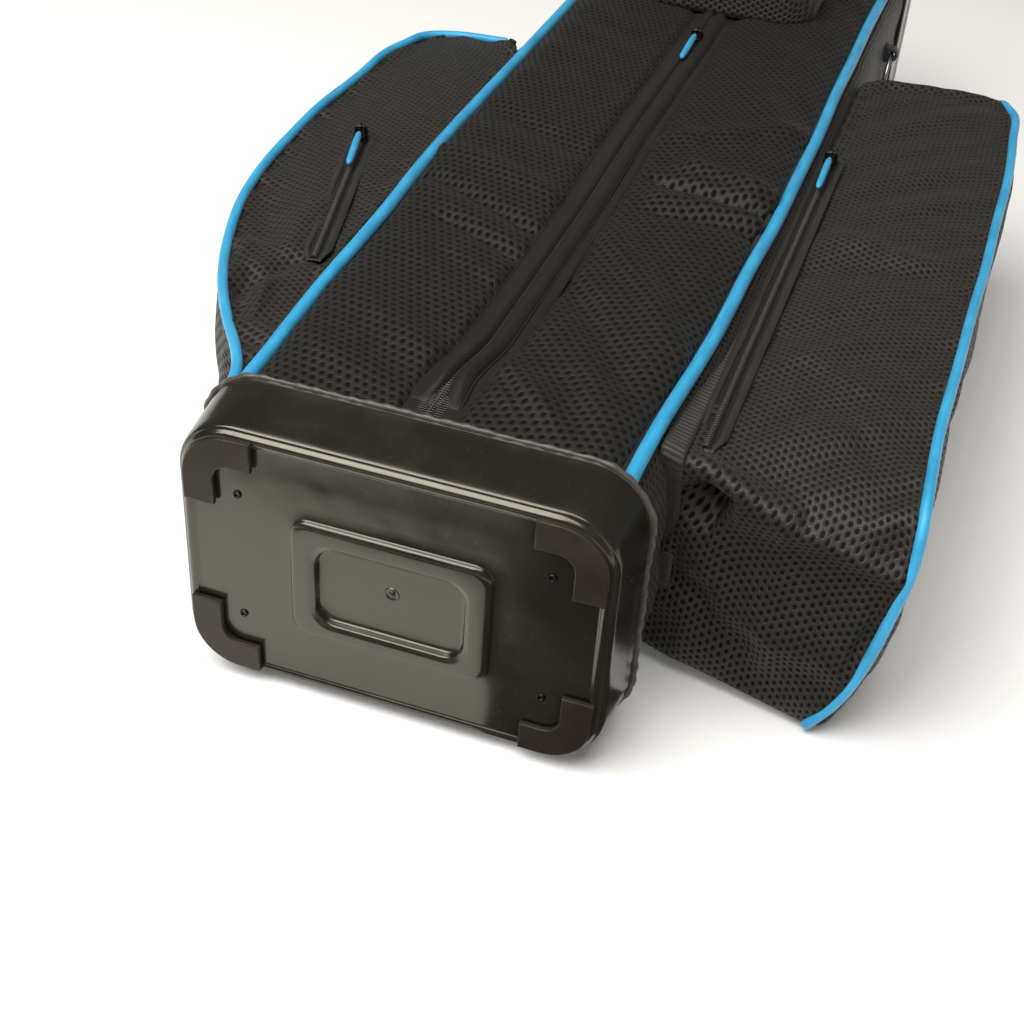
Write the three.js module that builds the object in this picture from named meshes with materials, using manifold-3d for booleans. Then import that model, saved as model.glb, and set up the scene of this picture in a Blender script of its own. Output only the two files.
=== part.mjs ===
// A golf cart bag lying on its back: moulded base tray toward -Y, open club end toward +Y,
// zipped front panel up. Millimetres, +Z up. The bag is drawn in its own frame, with x = 0 on
// the centre line, y = 0 on the tray's bottom face and z = 0 at the back of the base, and is then
// moved so that the origin is at the bottom centre of its bounding box.
import * as THREE from "three";
import { mergeVertices } from "three/addons/utils/BufferGeometryUtils.js";
import Module from "manifold-3d";

const wasm = await Module();
wasm.setup();

// ---- Driving dimensions -------------------------------------------------------------------
const GAP = 0.3; // between pieces that touch
const DEG = Math.PI / 180;

const BASE_HALF = 110; // half the width of the base
const BASE_DEPTH = 150; // back to front of the base
const BASE_RADIUS = 29;
const MID = BASE_DEPTH / 2;
const TRAY_HEIGHT = 38;
const TRAY_WALL = 3;
const TRAY_FLARE = 4; // how far the rim stands outside the bottom
const RIM_TOP = 41.3; // top of the binding that closes the tray's rim

const BODY_RADIUS = 32; // corner of the fabric body
const BODY_WALL = 3.5; // fabric on foam
const BODY_START = 24; // the fabric begins inside the tray
const BODY_END = 834; // and ends under the top divider
const BODY_SPREAD = 1.1; // full width over base width
const BODY_HALF = BASE_HALF * BODY_SPREAD;
const TUCK = 0.985; // share of the section that fits inside the tray
const STATIONS = [40, 60, 90, 120, 150, 180, 210, 240]; // the body widens between these

const PIPING_R = 3.2;
const PIPING_ANGLE = 48; // degrees up the front corner
const ZIP_BAND = 20; // half the plain band round the front zip

const COLLAR = { start: 815, end: 862, wall: 3.6, lip: 6, radius: 30 };
const DIVIDER = { start: 835, end: 858, bar: 8, columns: 3, rows: 2 };

const POCKET_WALL = 3;
const POCKET_FLOOR = -3;

// ---- Materials ----------------------------------------------------------------------------
const finish = (color, roughness, metalness = 0) => ({ color, roughness, metalness });
const GLOSS = finish(0x1c1b19, 0.28);
const MATTE = finish(0x171614, 0.6);
const MESH = finish(0x24221e, 0.75);
const PLAIN = finish(0x1a1917, 0.85);
const ACCENT = finish(0x2aa9e0, 0.5);
const WEBBING = finish(0x191817, 0.8);
const FOAM = finish(0x2b2b2b, 0.95);
const STEEL = finish(0x9a9a9c, 0.3, 1);
const GUNMETAL = finish(0x2c2c2e, 0.35, 1);

const bag = new THREE.Group();

function add(name, geometry, look, parent = bag) {
  const piece = new THREE.Mesh(geometry, new THREE.MeshStandardMaterial(look));
  piece.name = name;
  parent.add(piece);
}

// ---- Shape tools --------------------------------------------------------------------------
const smooth = (t) => {
  const s = Math.min(1, Math.max(0, t));
  return s * s * (3 - 2 * s);
};

function solid(geometry) {
  const bare = geometry.index ? geometry.toNonIndexed() : geometry.clone();
  bare.deleteAttribute("normal");
  bare.deleteAttribute("uv");
  const merged = mergeVertices(bare, 1e-3);
  return new wasm.Manifold(
    new wasm.Mesh({
      numProp: 3,
      vertProperties: merged.attributes.position.array,
      triVerts: new Uint32Array(merged.index.array),
    }),
  );
}

function surface(manifold) {
  const { vertProperties, triVerts } = manifold.getMesh();
  const geometry = new THREE.BufferGeometry();
  geometry.setAttribute("position", new THREE.BufferAttribute(vertProperties, 3));
  geometry.setIndex(new THREE.BufferAttribute(triVerts, 1));
  geometry.computeVertexNormals();
  return geometry;
}

const join = (...pieces) => surface(pieces.map(solid).reduce((a, b) => a.add(b)));
const cut = (piece, ...tools) => surface(tools.map(solid).reduce((a, b) => a.subtract(b), solid(piece)));

function reshape(geometry, move) {
  const position = geometry.attributes.position;
  const v = new THREE.Vector3();
  for (let i = 0; i < position.count; i++) {
    v.fromBufferAttribute(position, i);
    move(v);
    position.setXYZ(i, v.x, v.y, v.z);
  }
  return geometry;
}

// An outline drawn as (x, y), extruded from z = low to z = high.
function alongZ(shape, low, high, steps = 1) {
  const options = { depth: high - low, steps, curveSegments: 4, bevelEnabled: false };
  return new THREE.ExtrudeGeometry(shape, options).translate(0, 0, low);
}

// A section drawn as (x, z), extruded from y = from to y = to.
const alongY = (shape, from, to, steps = 1) =>
  alongZ(shape, 0, to - from, steps).rotateX(Math.PI / 2).translate(0, to, 0);

function circle(radius, sides = 8, x = 0, y = 0) {
  const points = [];
  for (let i = 0; i < sides; i++) {
    const a = (i / sides) * 2 * Math.PI;
    points.push(new THREE.Vector2(x + radius * Math.cos(a), y + radius * Math.sin(a)));
  }
  return new THREE.Shape(points);
}

// A round bar along a smooth curve through points given as [x, y, z].
function cordAlong(points, radius, steps, sides = 8) {
  const curve = new THREE.CatmullRomCurve3(points.map((p) => new THREE.Vector3(...p)), false, "centripetal");
  return new THREE.ExtrudeGeometry(circle(radius, sides), { steps, extrudePath: curve });
}

function roundedRect(x0, y0, x1, y1, r) {
  const s = new THREE.Shape();
  s.moveTo(x0 + r, y0);
  s.lineTo(x1 - r, y0);
  s.absarc(x1 - r, y0 + r, r, -Math.PI / 2, 0);
  s.lineTo(x1, y1 - r);
  s.absarc(x1 - r, y1 - r, r, 0, Math.PI / 2);
  s.lineTo(x0 + r, y1);
  s.absarc(x0 + r, y1 - r, r, Math.PI / 2, Math.PI);
  s.lineTo(x0, y0 + r);
  s.absarc(x0 + r, y0 + r, r, Math.PI, 1.5 * Math.PI);
  return s;
}

// The rounded section of a bag `half` wide each side and `grow` outside the base front and back.
const bagSection = (half, grow, r) => roundedRect(-half, -grow, half, BASE_DEPTH + grow, r);

function flip(shape, sx, sy = 1) {
  return new THREE.Shape(shape.getPoints(4).map((p) => new THREE.Vector2(sx * p.x, sy * p.y)));
}

function box(x0, x1, y0, y1, z0, z1) {
  const block = new THREE.BoxGeometry(x1 - x0, y1 - y0, z1 - z0);
  return block.translate((x0 + x1) / 2, (y0 + y1) / 2, (z0 + z1) / 2);
}

const barX = (r, x0, x1, y, z, sides = 12) =>
  new THREE.CylinderGeometry(r, r, x1 - x0, sides).rotateZ(Math.PI / 2).translate((x0 + x1) / 2, y, z);
const barY = (r, x, y0, y1, z, sides = 12) =>
  new THREE.CylinderGeometry(r, r, y1 - y0, sides).translate(x, (y0 + y1) / 2, z);

// ---- Base ---------------------------------------------------------------------------------
const RIDGE = { half: 53.5, low: 37, high: 110, r: 12, proud: 3 };
const RECESS = { half: 39, low: 47, high: 96, r: 10, depth: 1 };
const SCREW = { x: 79, back: 38, front: 113, hole: 2.2, head: 3.4 };

function flare(v) {
  const t = v.y / TRAY_HEIGHT;
  v.x *= 1 + (TRAY_FLARE * t) / BASE_HALF;
  v.z = MID + (v.z - MID) * (1 + (TRAY_FLARE * t) / MID);
}

function baseTray() {
  const section = (inset) => bagSection(BASE_HALF - inset, -inset, BASE_RADIUS - inset);
  const shell = reshape(alongY(section(0), 0, TRAY_HEIGHT), flare);
  const hollow = reshape(alongY(section(TRAY_WALL), TRAY_WALL, TRAY_HEIGHT + 1), flare);
  const ridge = roundedRect(-RIDGE.half, RIDGE.low, RIDGE.half, RIDGE.high, RIDGE.r);
  const recess = roundedRect(-RECESS.half, RECESS.low, RECESS.half, RECESS.high, RECESS.r);
  const holes = [-SCREW.x, SCREW.x].flatMap((x) =>
    [SCREW.back, SCREW.front].map((z) => barY(SCREW.hole, x, -1, TRAY_WALL + 1, z, 10)),
  );
  const raised = join(shell, alongY(ridge, -RIDGE.proud, 1));
  return cut(raised, hollow, alongY(recess, -RIDGE.proud - 1, RECESS.depth), ...holes);
}

const FOOT = { inset: 4, leg: 16, endX: 70, endZ: 31, r: 25, inner: 9, thick: 3.2 };

// The L-shaped foot of the front right corner, drawn about the middle of the base.
function footOutline() {
  const edgeX = BASE_HALF - FOOT.inset;
  const edgeZ = MID - FOOT.inset;
  const inX = edgeX - FOOT.leg;
  const inZ = edgeZ - FOOT.leg;
  const s = new THREE.Shape();
  s.moveTo(FOOT.endX, inZ);
  s.lineTo(inX - FOOT.inner, inZ);
  s.absarc(inX - FOOT.inner, inZ - FOOT.inner, FOOT.inner, Math.PI / 2, 0, true);
  s.lineTo(inX, FOOT.endZ);
  s.lineTo(edgeX, FOOT.endZ);
  s.absarc(edgeX - FOOT.r, edgeZ - FOOT.r, FOOT.r, 0, Math.PI / 2);
  s.lineTo(FOOT.endX, edgeZ);
  return s;
}

function screw(x, z) {
  const shank = SCREW.hole - GAP;
  const profile = [
    [0, -GAP - 1.5],
    [SCREW.head * 0.8, -GAP - 1.2],
    [SCREW.head, -GAP],
    [shank, -GAP],
    [shank, TRAY_WALL],
    [0, TRAY_WALL],
  ];
  return new THREE.LatheGeometry(profile.map(([r, y]) => new THREE.Vector2(r, y)), 10).translate(x, 0, z);
}

function rimBinding() {
  const outside = 2.8; // how far it stands outside the base outline
  const section = bagSection(BASE_HALF + outside, outside, BASE_RADIUS);
  section.holes.push(bagSection(BASE_HALF - GAP, -GAP, BASE_RADIUS));
  return alongY(section, TRAY_HEIGHT + GAP, RIM_TOP);
}

function base() {
  add("base_tray", baseTray(), GLOSS);
  add("rim_binding", rimBinding(), WEBBING);
  const padInset = 6;
  const pad = bagSection(BASE_HALF - padInset, -padInset, BASE_RADIUS - padInset);
  add("base_pad", alongY(pad, TRAY_WALL + GAP, TRAY_WALL + 5), FOAM);
  for (const [side, sx] of [["left", -1], ["right", 1]]) {
    for (const [end, sz, z] of [["back", -1, SCREW.back], ["front", 1, SCREW.front]]) {
      const pad = alongY(flip(footOutline(), sx, sz), -GAP - FOOT.thick, -GAP).translate(0, 0, MID);
      add(`foot_${end}_${side}`, pad, MATTE);
      add(`base_screw_${end}_${side}`, screw(sx * SCREW.x, z), STEEL);
    }
  }
}

// ---- Body ---------------------------------------------------------------------------------
const [NARROW, BULGED] = STATIONS;
const WIDE = STATIONS.at(-1);
const spread = (y) => TUCK + (BODY_SPREAD - TUCK) * smooth((y - NARROW) / (WIDE - NARROW));
const depth = (y) => TUCK + (1 - TUCK) * smooth((y - NARROW) / (BULGED - NARROW));

// A section of the body at base width, carried up the bag as the body widens.
function alongBody(shape, from, to) {
  const stops = [from, ...STATIONS.filter((y) => y > from + 1 && y < to), to];
  const steps = stops.length - 1;
  return reshape(alongY(shape, from, to, steps), (v) => {
    v.y = stops[Math.round(((v.y - from) / (to - from)) * steps)];
    v.x *= spread(v.y);
    v.z = MID + (v.z - MID) * depth(v.y);
  });
}

const CORNER_X = BASE_HALF - BODY_RADIUS;
const CORNER_Z = MID - BODY_RADIUS;

// A body wall as a section: points round the outside, given as [corner sx, corner sz, degrees]
// on each corner's arc, and back along the inside. `flatTo` carries it on to an x on the flat front.
function wallSection(trace, flatTo = []) {
  const layer = (radius) => [
    ...trace.map(
      ([sx, sz, degrees]) =>
        new THREE.Vector2(
          sx * CORNER_X + radius * Math.cos(degrees * DEG),
          MID + sz * CORNER_Z + radius * Math.sin(degrees * DEG),
        ),
    ),
    ...flatTo.map((x) => new THREE.Vector2(x, MID + CORNER_Z + radius)),
  ];
  return new THREE.Shape([...layer(BODY_RADIUS), ...layer(BODY_RADIUS - BODY_WALL).reverse()]);
}

// The points of a corner's arc, about every 12 degrees.
function arc(sx, sz, from, to) {
  const count = Math.ceil(Math.abs(to - from) / 12);
  return Array.from({ length: count + 1 }, (_, i) => [sx, sz, from + ((to - from) * i) / count]);
}

const SEAM = 0.6; // degrees left open between two panels
const PIPING_SEAM = 6.5; // degrees left open each side of a piping's centre

function frontPanel(sx) {
  const section = wallSection(arc(1, 1, PIPING_ANGLE + PIPING_SEAM, 90), [ZIP_BAND]);
  return alongBody(flip(section, sx), BODY_START, BODY_END);
}

function body() {
  const back = [...arc(-1, -1, 225 + SEAM, 270), ...arc(1, -1, 270, 315 - SEAM)];
  add("back_panel", alongBody(wallSection(back), BODY_START, BODY_END), PLAIN);
  const side = wallSection([...arc(1, -1, -45 + SEAM, 0), ...arc(1, 1, 0, PIPING_ANGLE - PIPING_SEAM)]);
  const pipingX = CORNER_X + BODY_RADIUS * Math.cos(PIPING_ANGLE * DEG);
  const pipingZ = MID + CORNER_Z + BODY_RADIUS * Math.sin(PIPING_ANGLE * DEG);
  for (const [name, sx] of [["left", -1], ["right", 1]]) {
    add(`side_panel_${name}`, alongBody(flip(side, sx), BODY_START, BODY_END), MESH);
    add(`front_panel_${name}`, frontPanel(sx), MESH);
    const piping = alongBody(circle(PIPING_R, 10, sx * pipingX, pipingZ), RIM_TOP + GAP, COLLAR.start - GAP);
    add(`front_piping_${name}`, piping, ACCENT);
  }
}

// ---- Inside the body ----------------------------------------------------------------------
function inside() {
  const start = TRAY_WALL + 6;
  const end = DIVIDER.start - 1;
  const rodR = 3;
  const sheetHalf = 0.8;
  for (const [name, sx] of [["left", -1], ["right", 1]]) {
    add(`stay_rod_${name}`, barY(rodR, sx * (CORNER_X + 15), start, end, 17), STEEL);
    const x = (sx * (DIVIDER_CELL + DIVIDER.bar)) / 2;
    add(`divider_sheet_${name}`, box(x - sheetHalf, x + sheetHalf, start, end, 6, BASE_DEPTH - 6), PLAIN);
  }
}

// ---- Top ----------------------------------------------------------------------------------
const HANDLE = { y: 830, z: 168, half: 41.5, r: 5, reach: 46, pin: 2.2 };
const LUG = { x0: 47, x1: 55, y0: 821, y1: 839, top: 174 };
const DIVIDER_HALF = BODY_HALF + 0.1;
const DIVIDER_CELL = (2 * DIVIDER_HALF - (DIVIDER.columns + 1) * DIVIDER.bar) / DIVIDER.columns;

function collar() {
  const clear = GAP + 0.1;
  const outer = (grow) => bagSection(BODY_HALF + clear + grow, clear + grow, COLLAR.radius + grow);
  const ring = outer(COLLAR.wall);
  ring.holes.push(outer(0));
  const lip = outer(COLLAR.wall);
  lip.holes.push(outer(-COLLAR.lip));
  const lugs = [-1, 1].map((sx) => {
    const [x0, x1] = [sx * LUG.x0, sx * LUG.x1].sort((a, b) => a - b);
    const block = box(x0, x1, LUG.y0, LUG.y1, BASE_DEPTH + COLLAR.wall / 2, LUG.top);
    return cut(block, barX(HANDLE.pin + GAP, x0 - 1, x1 + 1, HANDLE.y, HANDLE.z));
  });
  const lipStart = DIVIDER.end + GAP;
  return join(alongY(ring, COLLAR.start, lipStart + 0.5), alongY(lip, lipStart, COLLAR.end), ...lugs);
}

function divider() {
  const grid = bagSection(DIVIDER_HALF, 0.1, COLLAR.radius - GAP);
  const cellZ = (BASE_DEPTH - (DIVIDER.rows + 1) * DIVIDER.bar) / DIVIDER.rows;
  for (let column = 0; column < DIVIDER.columns; column++) {
    for (let row = 0; row < DIVIDER.rows; row++) {
      const x = -DIVIDER_HALF + DIVIDER.bar + column * (DIVIDER_CELL + DIVIDER.bar);
      const z = DIVIDER.bar + row * (cellZ + DIVIDER.bar);
      grid.holes.push(roundedRect(x, z, x + DIVIDER_CELL, z + cellZ, 20));
    }
  }
  return alongY(grid, DIVIDER.start, DIVIDER.end);
}

function liftHandle() {
  const { y, z, half, r, reach, pin } = HANDLE;
  const right = [
    [half, y + r, z],
    [half, y - 20, z],
    [half - 3, y - reach + 10, z],
    [half - 14, y - reach, z],
  ];
  const left = right.map(([x, py, pz]) => [-x, py, pz]).reverse();
  const bail = cordAlong([...right, ...left], r, 24, 10);
  return cut(bail, barX(pin + GAP, -half - 9, -half + 9, y, z), barX(pin + GAP, half - 9, half + 9, y, z));
}

function top() {
  add("top_collar", collar(), GLOSS);
  add("top_divider", divider(), MATTE);
  add("lift_handle", liftHandle(), MATTE);
  for (const [name, sx] of [["left", -1], ["right", 1]]) {
    const [x0, x1] = [sx * (HANDLE.half - HANDLE.r - 1), sx * (LUG.x1 + 1)].sort((a, b) => a - b);
    add(`handle_pin_${name}`, barX(HANDLE.pin, x0, x1, HANDLE.y, HANDLE.z), STEEL);
  }
}

// ---- Zips ---------------------------------------------------------------------------------
const TAPE_TOP = 1.2;
const COIL = { half: 2.5, low: 1.5, high: 3.4 };
const SLIDER = { half: 4.7, length: 13, low: 3.7, high: 6.6, eye: 9.9, bridge: 1.1 };
const PULL = { r: 2.2, length: 38, droop: 4.5 };

const coilSection = (low) => {
  const { half, high } = COIL;
  const points = [[-half, low], [half, low], [half, high - 0.8], [1.2, high], [-1.2, high], [-half, high - 0.8]];
  return new THREE.Shape(points.map(([x, z]) => new THREE.Vector2(x, z)));
};

function zipSlider() {
  const { half, length, low, high, eye, bridge } = SLIDER;
  const plate = new THREE.Shape();
  plate.moveTo(-half * 0.6, -length / 2);
  plate.lineTo(half * 0.6, -length / 2);
  plate.lineTo(half, -length / 6);
  plate.lineTo(half * 0.8, length / 2);
  plate.lineTo(-half * 0.8, length / 2);
  plate.lineTo(-half, -length / 6);
  const posts = [-3.1, 3.1].map((x) => box(x - 0.8, x + 0.8, -bridge, bridge, high - 0.5, eye + bridge));
  return join(alongZ(plate, low, high), ...posts, barX(bridge, -3.5, 3.5, 0, eye, 8));
}

function zipPull() {
  const ring = circle(2.9, 10);
  ring.holes.push(circle(SLIDER.bridge + 2 * GAP, 10));
  const eye = alongZ(ring, -1.8, 1.8).rotateY(Math.PI / 2);
  const link = box(-1.2, 1.2, -8, -2.2, -0.9, 0.9);
  const grip = new THREE.CapsuleGeometry(PULL.r, PULL.length - 2 * PULL.r, 2, 8);
  const pull = join(eye, link, grip.translate(0, -7 - PULL.length / 2, 0));
  return pull.rotateX(PULL.droop * DEG).translate(0, 0, SLIDER.eye);
}

// A zip's slider and pull at rest, on a group whose +Y runs to the closed end and whose z = 0 is
// the underside of the tape.
function runner(name, group) {
  add(`${name}_slider`, zipSlider(), GUNMETAL, group);
  add(`${name}_pull`, zipPull(), ACCENT, group);
}

function pocketZip(name, x, y, z, degrees, opens, beyond) {
  const group = new THREE.Group();
  group.position.set(x, y, z);
  group.rotation.z = degrees * DEG;
  bag.add(group);
  const tape = box(-6, 6, -opens, beyond, 0, TAPE_TOP);
  add(`${name}_zip`, join(tape, alongY(coilSection(TAPE_TOP - 0.2), -opens + 1, beyond - 1)), WEBBING, group);
  runner(`${name}_zip`, group);
}

const FRONT_ZIP = { z: 146.6, rest: 575, flapStart: 70 };

function frontZip() {
  const group = new THREE.Group();
  group.position.set(0, FRONT_ZIP.rest, FRONT_ZIP.z);
  bag.add(group);
  const from = RIM_TOP + GAP - FRONT_ZIP.rest;
  const to = COLLAR.start - GAP - FRONT_ZIP.rest;
  const edge = ZIP_BAND * TUCK - GAP;
  add("front_zip_tape", box(-edge, edge, from, to, 0, TAPE_TOP), WEBBING, group);
  add("front_zip_coil", alongY(coilSection(COIL.low), from + 1, to), GUNMETAL, group);
  runner("front_zip", group);
  for (const [name, sx] of [["left", -1], ["right", 1]]) {
    const [x0, x1] = [sx * (COIL.half + 0.7), sx * edge].sort((a, b) => a - b);
    const flap = box(x0, x1, FRONT_ZIP.flapStart - FRONT_ZIP.rest, to, COIL.low + 0.1, COIL.high);
    add(`zip_flap_${name}`, flap, PLAIN, group);
  }
}

// ---- Pockets ------------------------------------------------------------------------------
const besideBody = (from, to) => [from, ...STATIONS.filter((y) => y > from && y < to), to];

// A side pocket's plan: up the body's side and back down the outer edge, both on the right.
function pocketPlan(from, to, edge, inset, reach) {
  const inner = besideBody(from + inset, to - inset).map((y) => {
    const side = BASE_HALF * spread(y) + 2 * GAP;
    return new THREE.Vector2(inset ? side - reach : side, y);
  });
  const curve = new THREE.SplineCurve(edge(inset).map(([x, y]) => new THREE.Vector2(x, y)));
  return new THREE.Shape([...inner, ...curve.getPoints(20)]);
}

// Leans a pocket's outer wall in toward the floor and bellies it out at half height.
const lean = (foot, belly, height) => (v) => {
  const out = Math.max(0, Math.abs(v.x) - BODY_HALF) / 100;
  const low = Math.max(0, 1 - v.z / (height * 0.45));
  const swell = Math.sin(Math.PI * Math.min(1, Math.max(0, v.z / height)));
  v.x += Math.sign(v.x) * out * (belly * swell - foot * low * low);
};

// A pocket is a shell open toward the body.
function sidePocket(sx, from, to, top, edge, shift) {
  const layer = (inset, low, high) => {
    const plan = flip(pocketPlan(from, to, edge, inset, 12), sx);
    return reshape(alongZ(plan, low, high, 5), shift);
  };
  return cut(layer(0, POCKET_FLOOR, top), layer(POCKET_WALL, POCKET_FLOOR + POCKET_WALL, top - POCKET_WALL));
}

const RIGHT = { from: 74, to: 604, top: 134, foot: 28, belly: 6 };
const LEFT = { from: 62, to: 526, top: 138, foot: 22, belly: 6 };

// Outer edges in plan, from the top end down to the base end, `d` inside the outside face.
const rightEdge = (d) => [
  [158, RIGHT.to - d],
  [213 - d, RIGHT.to - 6 - d],
  [228 - d, 560],
  [231 - d, 420],
  [228.5 - d, 250],
  [226.5 - d, 120],
  [224 - d, RIGHT.from + 4 + d],
  [204, RIGHT.from + d],
];
const leftEdge = (d) => [
  [140, LEFT.to - d],
  [178 - d, LEFT.to - 8 - d],
  [196 - d, 470],
  [199 - d, 330],
  [190 - d, 240],
  [174 - d, 178 + d / 2],
  [147 - d, 126 + d / 2],
  [124 - d, 86 + d],
  [115, LEFT.from + 6 + d],
];

function pocketPiping(points) {
  return cordAlong(points, PIPING_R, 36);
}

function rightPocket() {
  const shift = lean(RIGHT.foot, RIGHT.belly, RIGHT.top);
  add("right_pocket", sidePocket(1, RIGHT.from, RIGHT.to, RIGHT.top, rightEdge, shift), MESH);
  const trim = PIPING_R + 3 * GAP;
  const low = RIGHT.from - trim;
  const high = RIGHT.top + 2.6;
  const piping = [
    [202, low, 2],
    [216, low, 24],
    [224, low, 58],
    [230, low, 92],
    [233, low + 2, 116],
    [232.5, low + 14, high],
    [230.5, 120, high + 1],
    [232, 250, high + 1],
    [234.5, 420, high + 1],
    [231, 560, high + 1],
    [217, RIGHT.to + 2, high + 1],
    [206, RIGHT.to + trim, 118],
    [202, RIGHT.to + trim, 60],
    [192, RIGHT.to + trim, 4],
  ];
  add("right_pocket_piping", pocketPiping(piping), ACCENT);
  pocketZip("right_pocket", BODY_HALF + 3, 440, RIGHT.top + GAP, 0, 345, 15);
}

function leftPocket() {
  const shift = lean(LEFT.foot, LEFT.belly, LEFT.top);
  add("left_pocket", sidePocket(-1, LEFT.from, LEFT.to, LEFT.top, leftEdge, shift), MESH);
  const high = LEFT.top + PIPING_R + GAP;
  const piping = [
    [-114, LEFT.from - 4, high + 1],
    [-129, 86, high],
    [-149, 126, high],
    [-176, 178, high],
    [-192, 240, high],
    [-201, 330, high],
    [-197, 470, high],
    [-180, LEFT.to - 6, high],
    [-150, LEFT.to + 2, high],
    [-126, LEFT.to + 4, high],
  ];
  add("left_pocket_piping", pocketPiping(piping), ACCENT);
  pocketZip("left_pocket", -159, 334, LEFT.top + GAP, 13.6, 158, 12);
}

const UPPER = { half: 72, from: 630, to: 778, low: BASE_DEPTH + GAP, top: 182, radius: 24, taper: 0.09 };

function upperPocket() {
  const { half, from, to, low, top, radius, taper } = UPPER;
  const centre = (from + to) / 2;
  const layer = (inset, z0, z1) => {
    const plan = roundedRect(-half + inset, from + inset, half - inset, to - inset, radius - inset);
    return reshape(alongZ(plan, z0, z1, 2), (v) => {
      const share = 1 - taper * smooth((v.z - low) / (top - low));
      v.x *= share;
      v.y = centre + (v.y - centre) * share;
    });
  };
  add("upper_pocket", cut(layer(0, low, top), layer(POCKET_WALL, low - 1, top - POCKET_WALL)), MESH);
  pocketZip("upper_pocket", 42, 744, top + GAP, -90, 92, 12);
}

// ---- Shoulder strap and towel ring --------------------------------------------------------
const STRAP = { x: -BODY_HALF - 6, z: 78, low: 575, high: 795, droop: 44, half: 19, thick: 1.2 };
const WIRE = 1.7; // half the thickness of the rings' wire
const TAB_HOLE = 3.5;

// A sewn webbing tab on the body's side, with the sleeve that a ring turns in.
function ringTab(sx, y, z, long) {
  const x = -sx * STRAP.x;
  const [x0, x1] = [sx * (BODY_HALF + GAP), sx * (BODY_HALF + 6 + TAB_HOLE + 2)].sort((a, b) => a - b);
  const block = box(x0, x1, y - long, y + long, z - 7, z + 7);
  return cut(block, barY(TAB_HOLE, x, y - long - 1, y + long + 1, z));
}

// The middle line of the strap, outward and along the bag.
const strapLine = (inset) => {
  const { low, high } = STRAP;
  const points = [
    [-50, low],
    [-63, low + 14],
    [-79, low + 50],
    [-85, (low + high) / 2],
    [-79, high - 50],
    [-63, high - 14],
    [-50, high],
  ];
  return new THREE.CatmullRomCurve3(points.map(([x, y]) => new THREE.Vector3(x + inset, y, 0)));
};

// A band along part of the strap's line, between two depths inside it.
function strapBand(t0, t1, depth0, depth1, half) {
  const curve = strapLine(0);
  const count = 24;
  const line = (offset) =>
    Array.from({ length: count + 1 }, (_, i) => {
      const t = t0 + ((t1 - t0) * i) / count;
      const p = curve.getPointAt(t);
      const along = curve.getTangentAt(t);
      return new THREE.Vector2(p.x + along.y * offset, p.y - along.x * offset);
    });
  return alongZ(new THREE.Shape([...line(depth0), ...line(depth1).reverse()]), -half, half);
}

function ringPlate(y) {
  const ring = roundedRect(-24, y - 18, WIRE, y + 18, 9);
  ring.holes.push(roundedRect(-24 + 2 * WIRE, y - 18 + 2 * WIRE, -WIRE, y + 18 - 2 * WIRE, 5));
  return alongZ(ring, -WIRE, WIRE);
}

function strapHook(y) {
  const bow = -24 + WIRE;
  const eye = circle(6, 12, bow, 0);
  eye.holes.push(circle(3.4, 12, bow, 0));
  const slot = box(-44.4, -40.8, y - 3, y + 3, -STRAP.half - 0.6, STRAP.half + 0.6);
  const frame = cut(box(-47.4, -37.8, y - 1.6, y + 1.6, -STRAP.half - 3.6, STRAP.half + 3.6), slot);
  return join(alongY(eye, y - 1.5, y + 1.5), barX(2.4, -39, bow - 4.5, y, 0, 10), frame);
}

function adjuster() {
  const t = 0.15;
  const curve = strapLine(0);
  const p = curve.getPointAt(t);
  const along = curve.getTangentAt(t);
  const frame = box(-3, 3, -10, 10, -STRAP.half - 4, STRAP.half + 4);
  const slot = box(-STRAP.thick - 0.9, STRAP.thick + 0.9, -11, 11, -STRAP.half - 0.8, STRAP.half + 0.8);
  return cut(frame, slot).rotateZ(-Math.atan2(along.x, along.y)).translate(p.x, p.y, 0);
}

function strap() {
  const group = new THREE.Group();
  group.position.set(STRAP.x, 0, STRAP.z);
  group.rotation.y = -STRAP.droop * DEG;
  bag.add(group);
  for (const [name, y] of [["lower", STRAP.low], ["upper", STRAP.high]]) {
    add(`strap_tab_${name}`, ringTab(-1, y, STRAP.z, 10), WEBBING);
    add(`strap_ring_${name}`, ringPlate(y), STEEL, group);
    add(`strap_hook_${name}`, strapHook(y), GUNMETAL, group);
  }
  add("strap_webbing", strapBand(0, 1, -STRAP.thick, STRAP.thick, STRAP.half), WEBBING, group);
  add("strap_pad", strapBand(0.27, 0.8, STRAP.thick + GAP, 10, 29), FOAM, group);
  add("strap_adjuster", adjuster(), MATTE, group);
}

const TOWEL = { y: 740, z: 104, r: 22 };

function towelRing() {
  const x = BODY_HALF + 6;
  add("towel_tab", ringTab(1, TOWEL.y, TOWEL.z, 5), WEBBING);
  const ring = circle(TOWEL.r + WIRE, 24);
  ring.holes.push(circle(TOWEL.r - WIRE, 24));
  const plate = alongZ(ring, -WIRE, WIRE).rotateY(Math.PI / 2);
  add("towel_ring", plate.translate(x, TOWEL.y, TOWEL.z - TOWEL.r), STEEL);
}

base();
body();
inside();
top();
frontZip();
rightPocket();
leftPocket();
upperPocket();
strap();
towelRing();

const bounds = new THREE.Box3().setFromObject(bag);
const middle = bounds.getCenter(new THREE.Vector3());
bag.position.set(-middle.x, -middle.y, -bounds.min.z);
const root = new THREE.Group();
root.add(bag);

export default root;
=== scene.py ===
import math

import bmesh
import bpy
import numpy as np
from mathutils import Matrix, Vector


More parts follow.
